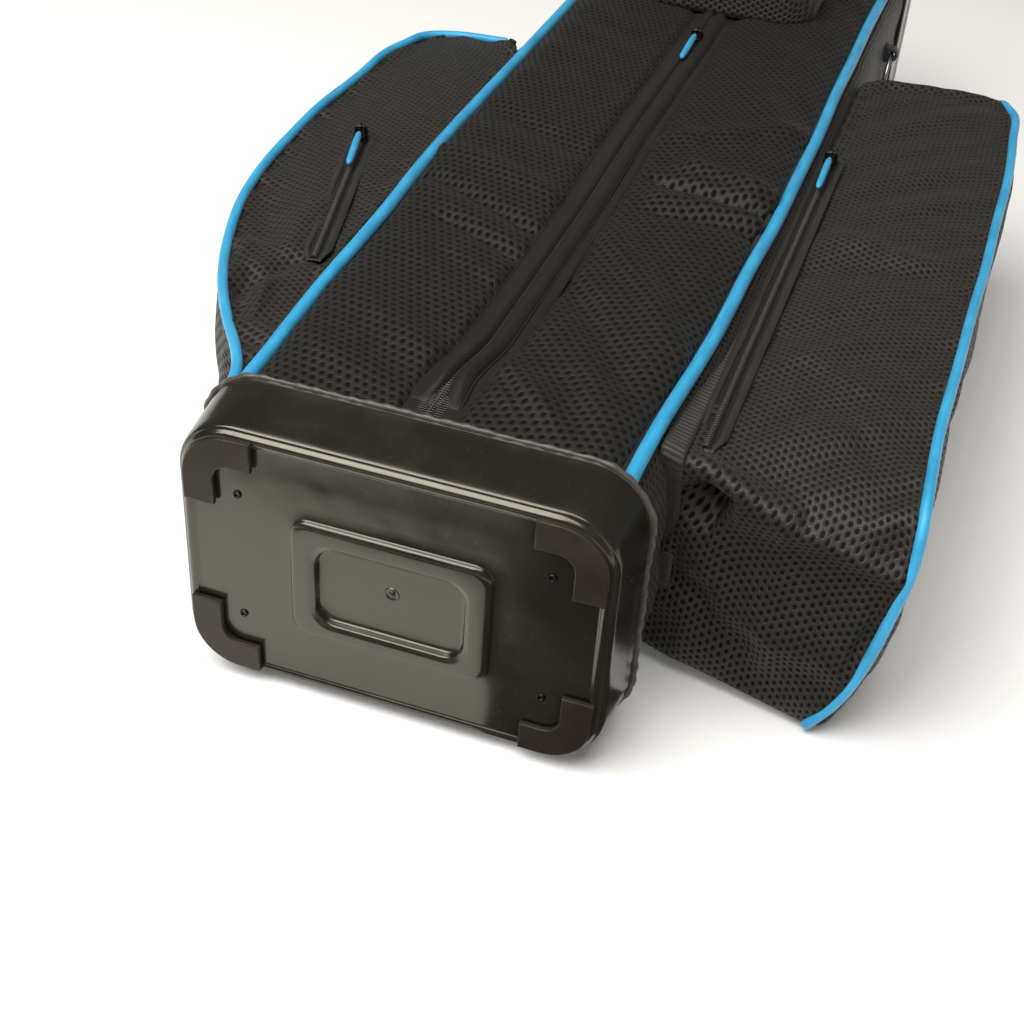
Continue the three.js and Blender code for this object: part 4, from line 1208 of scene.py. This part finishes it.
def pocket_grid(stations, rows, columns, top_lift, side_lift, sign):
    """The pocket's skin as one grid: over its top, round the piping, down its face and under."""
    rails = np.array(stations, float)
    steps = np.linalg.norm(np.diff(rails.mean(1), axis=0), axis=1)
    knots = np.concatenate([[0], np.cumsum(steps)])
    every = eased(along_knots(rails.reshape(len(rails), 12), knots, rows), 7).reshape(rows, 4, 3)
    grids, wide, long = [], [], []
    for k, lift in enumerate((top_lift, side_lift, None)):
        grid, u, v = pocket_band(every[:, k], every[:, k + 1], columns[k], lift, sign)
        if k:
            grid, v = grid[:, 1:], wide[-1][:, -1:] + v[:, 1:]
            u = np.broadcast_to(lengths(every[:, 1])[:, None], v.shape)
        grids.append(grid)
        wide.append(v)
        long.append(u)
    cloth = np.stack([np.concatenate(wide, 1), np.concatenate(long, 1)], -1)
    return np.concatenate(grids, 1), cloth, every[:, 1]


RIGHT_CREASES = [  # the ends of each crease as (x, y), then its width and height
    ((146, 345), (196, 330), 12, 3.0), ((140, 300), (198, 318), 12, -3.2),
    ((148, 204), (206, 172), 9, 1.6), ((186, 150), (214, 108), 9, -1.8),
]
LEFT_CREASES = [
    ((-146, 150), (-138, 108), 6, -5.0), ((-164, 176), (-152, 116), 5, 4.4),
    ((-132, 176), (-142, 140), 5, -3.6), ((-134, 150), (-124, 104), 4, 3.0),
    ((-176, 250), (-160, 196), 8, -3.0), ((-150, 240), (-142, 190), 8, 2.4),
]
RIDGE_FROM, RIDGE_WAY, RIDGE_LONG = (117.6, 138.4), (114.8, -34.8), 120.0  # as (x, z)


def right_end(x, y, z, t, end):
    """The right pocket's lower end: a sharp ridge along its top, a sunk corner and slack folds."""
    off = np.abs((x - RIDGE_FROM[0]) * RIDGE_WAY[1] - (z - RIDGE_FROM[1]) * RIDGE_WAY[0]) / RIDGE_LONG
    ridge = 2.8 * np.exp(-off / 3.0) + 1.4 * np.exp(-((off / 12) ** 2))
    ridge = ridge * (1 - smooth((y - 84) / 10)) * smooth(t / 0.14) * smooth((1 - t) / 0.08)
    sunk = -30 * np.exp(-(((x - 129.5) / 9.5) ** 2) - ((z - 109) / 12) ** 2) * end
    bulge = 3.2 * fold(x, z, (178, 20), (172, 84), 11) - 3.4 * fold(x, z, (156, 30), (148, 88), 9)
    low = 2.4 * fold(x, z, (122, 90), (150, 48), 8) - 4.5 * fold(x, z, (108, 62), (142, 46), 8)
    return ridge + sunk + (bulge + low) * smooth((z - 8) / 26) * end


def right_top(t, p):
    x, y, z = np.moveaxis(p, -1, 0)
    end = 1 - smooth((y - 80) / 14)
    crown = 6.0 * np.sin(math.pi * t) ** 0.8 * smooth((t + 0.03) / 0.15)
    crown = crown * (0.35 + 0.65 * smooth((y - 84) / 60)) * (1 - end * (1 - 0.5 * smooth((z - 4) / 30)))
    loose = 1.1 * ripple(x, y, 40, 40, 3, 71) + 0.35 * ripple(x, y, 15, 55, 3, 72)
    creases = sum(high * fold(x, y, a, b, width) for a, b, width, high in RIGHT_CREASES)
    soft = (loose + creases) * np.sin(math.pi * t) ** 0.6 * (1 - end * (1 - smooth((z - 4) / 30)))
    return crown + soft + right_end(x, y, z, t, end) - 1.2 * (1 - smooth((1 - t) / 0.03))


def left_top(t, p):
    x, y, _ = np.moveaxis(p, -1, 0)
    wide = smooth((y - 60) / 90)
    seam = fold(x, y, (-98, 112), (-122, 190), 3.0) + fold(x, y, (-122, 190), (-156, 330), 2.6, 0.1)
    crown = 4.5 * np.sin(math.pi * t) ** 0.8 * wide
    creases = sum(high * fold(x, y, a, b, width) for a, b, width, high in LEFT_CREASES)
    loose = 0.7 * ripple(x, y, 30, 120, 2.5, 81)
    return crown + (creases + loose) * np.sin(math.pi * t) ** 0.5 - 1.8 * seam * wide


def pocket_face(high, low_end, top_end, folds, tuck):
    """The lift of a pocket's outer face: a belly that fades at both ends, and slack folds."""
    (start, rise), (end, fall) = low_end, top_end

    def lift(t, p):
        y, z = p[..., 1], p[..., 2]
        belly = high * np.sin(math.pi * t ** 0.8) * smooth((y - start) / rise) * smooth((end - y) / fall)
        return belly + folds(y, z * 1.4) * np.sin(math.pi * t) - tuck * (1 - smooth(t / 0.04))

    return lift


def right_pocket():
    face = pocket_face(9.0, (74, 60), (606, 40), lambda y, z: 1.3 * ripple(y, z, 48, 74, 2.5, 73), 1.2)
    return pocket_grid(RIGHT_STATIONS, 330, (58, 34, 12), right_top, face, 1)


def left_pocket():
    face = pocket_face(7.0, (64, 80), (530, 50), lambda y, z: 1.1 * ripple(y, z, 44, 100, 2.5, 83), 1.0)
    return pocket_grid(LEFT_STATIONS, 240, (36, 34, 12), left_top, face, -1)


TOP_COLUMN = 16  # one that lies on top of either pocket


def side_pockets():
    for name, shape in (("right_pocket", right_pocket), ("left_pocket", left_pocket)):
        grid, cloth, rail = shape()
        normals = grid_normals(grid)
        sign = np.sign(normals[len(grid) // 2, TOP_COLUMN, 2])
        walled = shell_part(grid, grid - sign * normals * 2.2, cloth)
        make(f"{name}_cloth", [walled], MESH, replaces=[name])
        pocket_cord(f"{name}_piping_cord", rail, f"{name}_piping")
    ribbed_gusset()


def ribbed_gusset():
    """The flat ribbed strip that closes the gap between the body and the right pocket's inner seam."""
    pair = eased(along(np.array([row[0] + row[1] for row in RIGHT_STATIONS[1:13]], float), 900), 25)
    seam, across = pair[:, :3], pair[:, 3:] - pair[:, :3]
    across = across / across[:, :1]
    far = lengths(seam)
    step = np.gradient(seam, axis=0)
    normal = np.cross(step, across)
    normal *= (np.sign(normal[:, 2] - normal[:, 1]) / np.linalg.norm(normal, axis=1))[:, None]
    low, high = 105.4, 117.6
    x = np.linspace(low, high, 14)
    ribs = 0.28 * np.sin(2 * math.pi * far / 3.3)[:, None]
    fade = (smooth(far / 10) * smooth((far[-1] - far) / 10))[:, None]
    edge = np.interp(x, (low, low + 1.2, high - 1.2, high), (0, 1, 1, 0))[None, :]
    lift = ((0.9 + ribs) * edge + 0.3) * fade - 2.5 * (1 - fade)
    flat = seam[:, None] + across[:, None] * (x[None, :, None] - seam[:, None, :1])
    grid = flat + normal[:, None] * lift[..., None]
    make("right_gusset_strip", [shell_part(grid, grid - normal[:, None] * 0.9)], [RIBBED])


def pocket_cord(name, rail, node):
    path = eased(along(rail, 420), 3)
    far = lengths(path)
    path = path + np.stack([0.3 * np.sin(far / 19), 0.3 * np.sin(far / 27 + 1), 0.25 * np.sin(far / 13)], -1)
    make(name, [tube_part(path, 2.9, 16)], BLUE, replaces=[node])


UPPER = {"half": 72.0, "from": 630.0, "to": 778.0, "low": 150.5, "top": 182.0, "radius": 24.0}


def upper_pocket():
    """A crowned pouch: its walls pull in between the corners and its lid is piped round the edge."""
    half, radius = UPPER["half"], UPPER["radius"]
    middle, half_y = (UPPER["from"] + UPPER["to"]) / 2, (UPPER["to"] - UPPER["from"]) / 2
    profile = [(0.0, 0.0), (0.4, 4), (1.4, 12), (2.6, 20), (4.0, 26), (5.2, 29.6), (6.4, 31.2), (8.4, 31.6),
               (12, 31.4), (20, 31.2), (34, 31.1), (48, 31.0), (62, 31.0)]
    rows = []
    for inset, z in profile:
        flat = ring(half - inset, half_y - inset, middle, max(radius - inset * 0.5, 4), 0)
        turned = 2 * np.arctan2(flat[:, 2] - middle, flat[:, 0])
        pull = 1.4 * np.sin(math.pi * min(1, z / 31)) * (1 - np.abs(np.sin(turned)))
        scale = 1 - pull / half
        x, y = flat[:, 0] * scale, middle + (flat[:, 2] - middle) * scale
        lid = 0.35 * ripple(x, y, 26, 30, 2, 91) * smooth((inset - 8) / 10)
        rows.append(np.stack([x, y, UPPER["low"] + z + lid], -1))
    grid = np.array(rows)
    cloth = np.stack([grid[..., 0], grid[..., 1] + 1.3 * (UPPER["top"] - grid[..., 2])], -1)
    seam = rows[5] + (0, 0, 0.3)
    cord = tube_part(np.vstack([seam[2:], seam[:2]]), 1.7, 10, closed=True, reference=(0, 0, 1))
    make("upper_pocket_cloth", [grid_part(grid, cloth, wrap=True, caps=True), cord], [MESH, PLAIN],
         replaces=["upper_pocket"])


# ---- Inside --------------------------------------------------------------------------------
def divider_sheet(name, sx):
    """A full-length cloth divider, hung flat between the club divider and the tray."""
    low, high = (from_row(corner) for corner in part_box(f"divider_sheet_{name}"))
    y, z = np.meshgrid(np.linspace(low[1], high[1], 90), np.linspace(low[2], high[2], 20), indexing="ij")
    x = (low[0] + high[0]) / 2 + 0.5 * ripple(y, z, 90, 20, 2, 95 + sx) + 0.4
    grid = np.stack([x, y, z], -1)
    part = shell_part(grid, grid - (0.8, 0, 0), np.stack([z, y], -1))
    sheet = make(f"divider_cloth_{name}", [part], PLAIN,
                 replaces=[f"divider_sheet_{name}"])


def stay_rod(name):
    """The CAD's own rod is shown, in plain steel."""
    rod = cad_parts[f"stay_rod_{name}"].data
    rod.materials.clear()
    rod.materials.append(STEEL)


def base_pad():
    """The foam pad in the tray, which fills out over its rounded edge."""
    stops = ((1.6, 3.4), (0.4, 4.2), (0.0, 5.6), (0.8, 7.2), (4, 7.9), (30, 8.0), (60, 8.0))
    rows = [ring(104 - inset, 69 - inset, MID, max(23 - inset, 4), y) for inset, y in stops]
    cushion = plump(loft(rows), pressure=1.0, cap=1.2)
    pad = make("base_pad_cushion", [cushion], FOAM, replaces=["base_pad"])


# ---- Top -----------------------------------------------------------------------------------
HANDLE_Y, HANDLE_Z = 830.0, 168.0


def collar():
    """The moulded ring at the open end, its lip rolled over and two lugs for the lift handle."""
    half, deep = BODY_HALF + 0.4, MID + 0.4
    stops = [
        ((half + 0.3, deep + 0.3, MID, 30.3, 815), 0),
        ((half + 3.4, deep + 3.4, MID, 33, 815), 1.2),
        ((half + 3.6, deep + 3.6, MID, 33.4, 817), 0.6),
        ((half + 3.0, deep + 3.0, MID, 33, 846), 2),
        ((half + 4.2, deep + 4.2, MID, 34, 850), 2),
        ((half + 4.2, deep + 4.2, MID, 34, 861), 3.0),
        ((half - 1.0, deep - 1.0, MID, 29, 863), 2.5),
        ((half - 6.0, deep - 6.0, MID, 24.5, 861.4), 1.2),
        ((half - 6.0, deep - 6.0, MID, 24.5, 858.6), 0.3),
        ((half + 0.3, deep + 0.3, MID, 30.3, 858.4), 0.3),
        ((half + 0.3, deep + 0.3, MID, 30.3, 816), 0),
    ]
    parts = [loft([ring(*values) for values in soften(stops)], closed=True)]
    lug = np.vstack([
        [(818, 151.5), (842, 151.5)], arc_points(839, 155, 2.5, 0, 60, 4),
        arc_points(HANDLE_Y, HANDLE_Z, 6.4, 20, 160, 14), arc_points(821, 155, 2.5, 120, 180, 4),
    ])
    for sx in (-1, 1):
        points, faces, cloth = plate_part([lug], 47, 55, 0.7, 3)
        parts.append((points[:, [2, 0, 1]] * (sx, 1, 1), faces, cloth))
    sharpen(make("top_collar_ring", parts, GLOSS, replaces=["top_collar"]), 50)


DIVIDER_BAR, DIVIDER_COLUMNS, DIVIDER_ROWS, CELL_RADIUS = 8.0, 3, 2, 20.0
DIVIDER_HALF = BODY_HALF + 0.1
CELL_X = (2 * DIVIDER_HALF - (DIVIDER_COLUMNS + 1) * DIVIDER_BAR) / DIVIDER_COLUMNS
CELL_Z = (BASE_DEPTH - (DIVIDER_ROWS + 1) * DIVIDER_BAR) / DIVIDER_ROWS


def divider():
    outlines = [round_rect(-DIVIDER_HALF, -0.1, DIVIDER_HALF, BASE_DEPTH + 0.1, 29.7, 14)]
    for column in range(DIVIDER_COLUMNS):
        for row in range(DIVIDER_ROWS):
            x = -DIVIDER_HALF + DIVIDER_BAR + column * (CELL_X + DIVIDER_BAR)
            z = DIVIDER_BAR + row * (CELL_Z + DIVIDER_BAR)
            outlines.append(round_rect(x, z, x + CELL_X, z + CELL_Z, CELL_RADIUS, 12))
    part = upright(plate_part(outlines, 835, 858, 1.6, 5))
    sharpen(make("top_divider_grid", [part], SATIN, replaces=["top_divider"]), 50)


def lift_handle():
    """A moulded bail with a swollen, ribbed grip, on a riveted pin in each lug."""
    half, reach = 41.5, 46
    leg = [(half, 4), (half, -6), (half, -20), (half - 3, 10 - reach), (half - 14, -reach)]
    right = [(x, HANDLE_Y + y, HANDLE_Z) for x, y in leg]
    left = [(-x, y, z) for x, y, z in reversed(right)]
    path = along(right + [(0, HANDLE_Y - reach, HANDLE_Z)] + left, 120)
    x = path[:, 0]
    radius = 4.6 + 0.5 * smooth(1 - np.abs(x) / 26)
    radius = radius - 0.28 * (np.cos(x * 2 * math.pi / 5.2) > 0.55) * (np.abs(x) < 24)
    part = tube_part(path, radius, 20, reference=(0, 0, 1))
    make("lift_handle_grip", [part], SATIN, "lift_handle", ["lift_handle"])
    for side, sx in SIDES:
        pin = tube_part([(sx * x, HANDLE_Y, HANDLE_Z) for x in (35.8, 45, 55.6)], 2.15, 16)
        head = tube_part([(sx * x, HANDLE_Y, HANDLE_Z) for x in (55.2, 56.0)], [3.2, 2.8], 16)
        make(f"handle_pin_{side}_rivet", [pin, head], STEEL,
             replaces=[f"handle_pin_{side}"])


# ---- Shoulder strap and towel ring ---------------------------------------------------------
STRAP_X, STRAP_Z, STRAP_LOW, STRAP_HIGH, STRAP_HALF = -127.0, 78.0, 575.0, 795.0, 19.0
STRAP_TILT = math.radians(-44)
WIRE = 1.7
WIRE_X = BODY_HALF + 6


PAD_START, PAD_END, STITCH_END = 0.27, 0.80, 0.795
STRAP_COUNT = 400


def strap_place():
    """The strap's own frame: -X away from the bag, +Y along it."""
    return Matrix.Translation(Vector(in_row((STRAP_X, 0, STRAP_Z)))) @ Matrix.Rotation(STRAP_TILT, 4, "Y")


def strap_line(count):
    low, high = STRAP_LOW, STRAP_HIGH
    points = [(-50, low), (-63, low + 14), (-79, low + 50), (-85, (low + high) / 2), (-79, high - 50),
              (-63, high - 14), (-50, high)]
    line = along(points, count)
    way = np.gradient(line, axis=0)
    way /= np.linalg.norm(way, axis=1, keepdims=True)
    return line, np.stack([way[:, 1], -way[:, 0]], -1), lengths(line)


def band(first, last, section, shape=None, count=200):
    """Sweeps a closed section of (depth inside the line, across) along part of the strap."""
    line, inward, far = strap_line(count)
    section = np.asarray(section, float)
    keep = range(int(first * (count - 1)), int(last * (count - 1)) + 1)
    rows = []
    for k, t in zip(keep, np.linspace(0, 1, len(keep))):
        deep, wide = (shape(t, section) if shape else section).T
        rows.append(np.stack([line[k, 0] + inward[k, 0] * deep, line[k, 1] + inward[k, 1] * deep, wide], -1))
    girth = lengths(section)
    cloth = np.stack(np.broadcast_arrays(girth[None, :], far[keep][:, None]), -1)
    return grid_part(np.array(rows), cloth, wrap=True, caps=True)


def webbing_section(half, thick):
    across = np.linspace(-half, half, 20)
    side = np.full(20, thick)
    side[[0, -1]] = thick * 0.45
    top = np.stack([side, across], -1)
    return np.vstack([top, (top * (-1, 1))[::-1]])


def pad_shape(t, section):
    """The pad swells between its ends and is pinched where the channels are sewn."""
    ends = smooth(t / 0.08) * smooth((1 - t) / 0.08)
    channel = 1 - 0.32 * sum(math.exp(-(((t - c) / 0.012) ** 2)) for c in (0.2, 0.4, 0.6, 0.8))
    narrow = 0.62 + 0.38 * math.sqrt(ends)
    return (1.6, 0) + section * ((0.35 + 0.65 * ends) * channel, narrow)


def pad_section():
    """The pad's section: a flattened oval, fuller on its outer face."""
    turn = full_turn(44)
    wide = 28.5 * np.sign(np.cos(turn)) * np.abs(np.cos(turn)) ** 0.75
    deep = 4.2 + 4.1 * np.sin(turn) * np.where(np.sin(turn) > 0, 1, 0.95)
    return np.stack([deep, wide], -1)


def strap():
    place = strap_place()
    web = band(0.0, 1.0, webbing_section(STRAP_HALF, 1.15))
    make("shoulder_webbing", [web], WEBBING, "shoulder_strap", ["strap_webbing"], place)
    pad = plump(band(PAD_START, PAD_END, pad_section(), pad_shape), pressure=3.0, cap=3.0)
    cushion = make("shoulder_pad", [pad], FOAM, "shoulder_strap", ["strap_pad"], place)
    line, inward, _ = strap_line(STRAP_COUNT)
    sewn = slice(int(PAD_START * STRAP_COUNT), int(STITCH_END * STRAP_COUNT))
    back = (line - inward * 0.9)[sewn]
    rows = [stitches(np.insert(back, 2, z, axis=1), 3.0, 2.0, 0.35) for z in (-15, 15)]
    make("shoulder_pad_stitching", rows, THREAD, "shoulder_strap", (), place)
    strap_ends(place)
    strap_adjuster(place)


def strap_ends(place):
    """At each end a webbing tab, the wire loop in it and the snap hook on that loop."""
    for name, y in (("lower", STRAP_LOW), ("upper", STRAP_HIGH)):
        tab_sleeve(f"strap_tab_{name}_loop", -1, y, STRAP_Z, 10, f"strap_tab_{name}")
        flat = round_rect(-24 + WIRE, y - 18 + WIRE, 0, y + 18 - WIRE, 7, 8)
        loop = np.insert(flat, 2, 0, axis=1)
        keep = [0] + [k for k in range(1, len(loop)) if np.linalg.norm(loop[k] - loop[k - 1]) > 0.05]
        wire = tube_part(evenly(loop[keep], 120, closed=True), WIRE, 14, closed=True, reference=(0, 0, 1))
        make(f"strap_ring_{name}_wire", [wire], STEEL, "shoulder_strap",
             [f"strap_ring_{name}"], place)
        snap_hook(f"strap_hook_{name}_cast", y, f"strap_hook_{name}", place)


def strap_adjuster(place):
    """A three-bar slide that lies square across the webbing, 15 % of the way along it."""
    line, inward, _ = strap_line(STRAP_COUNT)
    k = 3 * STRAP_COUNT // 20
    bars = [round_rect(-10, -STRAP_HALF - 4, 10, STRAP_HALF + 4, 3)]
    bars += [round_rect(x, -STRAP_HALF - 0.8, x + 6, STRAP_HALF + 0.8, 1.2) for x in (-7.4, 1.4)]
    points, faces, cloth = plate_part(bars, -1.5, 1.5, 0.7, 3)
    turn = np.array(Matrix.Rotation(math.atan2(inward[k, 1], inward[k, 0]), 3, "Z"))
    points = (points[:, [2, 0, 1]] + (-1.9, 0, 0)) @ turn.T + (*line[k], 0)
    sharpen(make("strap_adjuster_slide", [(points, faces, cloth)], SATIN, "shoulder_strap",
                 ["strap_adjuster"], place), 50)


def snap_hook(name, y, node, place):
    """A swivel hook: a bow round the ring's wire, its swivel post and a flat loop for the webbing."""
    eye = tube_part(hoop((-24 + WIRE, y, 0), 4.6, 1, 40), 1.3, 12, closed=True, reference=(0, 1, 0))
    post = tube_part([(x, y, 0) for x in (-27.5, -30, -33, -36, -39)], [2.3, 2.1, 2.6, 2.2, 3.0], 16)
    loop = [round_rect(-47.4, -STRAP_HALF - 3.6, -37.8, STRAP_HALF + 3.6, 3.2),
            round_rect(-44.4, -STRAP_HALF - 0.6, -40.8, STRAP_HALF + 0.6, 1.5)]
    points, faces, cloth = plate_part(loop, -1.6, 1.6, 1.0, 4)
    flat = (points[:, [0, 2, 1]] + (0, y, 0), faces, cloth)
    sharpen(make(name, [eye, post, flat], GUNMETAL, "shoulder_strap", [node], place), 50)


def tab_sleeve(name, sx, y, z, long, node):
    """Webbing folded round a ring's wire and sewn to the bag's side with two rows of stitches."""
    x, reach = sx * WIRE_X, sx * (BODY_HALF + 0.5)
    bend = arc_points(0, 0, 5.2, -75, 75, 12) * (sx, 1) + (x, z)
    loop = np.vstack([
        [(reach, z - 6.8), (x - sx * 1.5, z - 5.2)], bend, [(x - sx * 1.5, z + 5.2), (reach, z + 6.8)],
    ])
    hole = hoop((x, z, 0), 3.2, 2, 20)[:, :2]
    part = upright(plate_part([loop if sx > 0 else loop[::-1], hole], y - long, y + long, 0.5, 3))
    row = np.linspace((reach + sx * 3.6, y - long + 1.5, z), (reach + sx * 3.6, y + long - 1.5, z), 12)
    sewn = [stitches(row + (0, 0, dz), 2.0, 1.2, 0.3) for dz in (-5.9, 5.9)]
    make(name, [part, *sewn], [WEBBING, THREAD, THREAD], replaces=[node])


def towel_ring():
    y, z, radius = 740, 104, 22
    tab_sleeve("towel_tab_loop", 1, y, z, 5, "towel_tab")
    path = hoop((WIRE_X, y, z - radius), radius, 0, 90)
    wire = tube_part(path, WIRE, 14, closed=True, reference=(1, 0, 0))
    make("towel_ring_wire", [wire], STEEL, "towel_ring", ["towel_ring"])


# ---- Set -----------------------------------------------------------------------------------
def staged(name, points, faces, look):
    """A piece of the set rather than of the bag, in metres."""
    card = mesh_object(name, points, faces)
    card.data.materials.append(look)
    return card


CARDS = {
    "card_right": [(50, -4), (-34, -288), (620, -288), (620, -4)],
    "card_front": [(-700, -900), (-700, -262), (700, -8), (700, -900)],
    "card_side": [(121, -2), (620, -2), (620, 60), (121, 60)],
}


def add_cards():
    """Dark brown cards on the floor round the base, which only show in glossy surfaces."""
    look = Look("card", (0.020, 0.012, 0.008), 0.9)
    patches = look.noise(look.object_mm(), 90, 2)
    look.set(base_color=look.mix(patches, (0.014, 0.009, 0.006), (0.030, 0.017, 0.011)))
    for name, corners in CARDS.items():
        card = staged(name, in_row([(x, y, -3.2) for x, y in corners]), [(0, 1, 2, 3)], look.material)
        card.visible_camera = card.visible_diffuse = card.visible_shadow = False


def add_floor():
    """A plain pale sweep, level under the bag and far wider than it."""
    steps = np.linspace(-3.4, 3.4, 25)
    x, y = np.meshgrid(steps, steps)
    points, faces, _ = grid_part(np.stack([x, y, 0 * x - 0.0004], -1))
    staged("floor", points, faces, floor_look())


add_camera()
add_lights()
add_floor()
add_cards()
base_tray()
feet_and_rivets()
rim_binding()
front_panel("left", -1, 13.2, 150, LEFT_FOLDS)
front_panel("right", 1, 15.4, 118, RIGHT_FOLDS)
for side, sx in SIDES:
    side_panel(side, sx)
back_panel()
for side, sx in SIDES:
    body_piping(side, sx)
front_zip()
rain_flap("zip_flap_left_fold", -1, 13.0, 2.6, 3.7, "zip_flap_left")
rain_flap("zip_flap_right_fold", 1, 9.4, 0.9, 3.1, "zip_flap_right")
runners()
for zip_name, span in OPENS.items():
    pocket_zip(zip_name, *span)
side_pockets()
upper_pocket()
for side, sx in SIDES:
    divider_sheet(side, sx)
    stay_rod(side)
base_pad()
collar()
divider()
lift_handle()
strap()
towel_ring()

bpy.context.view_layer.update()
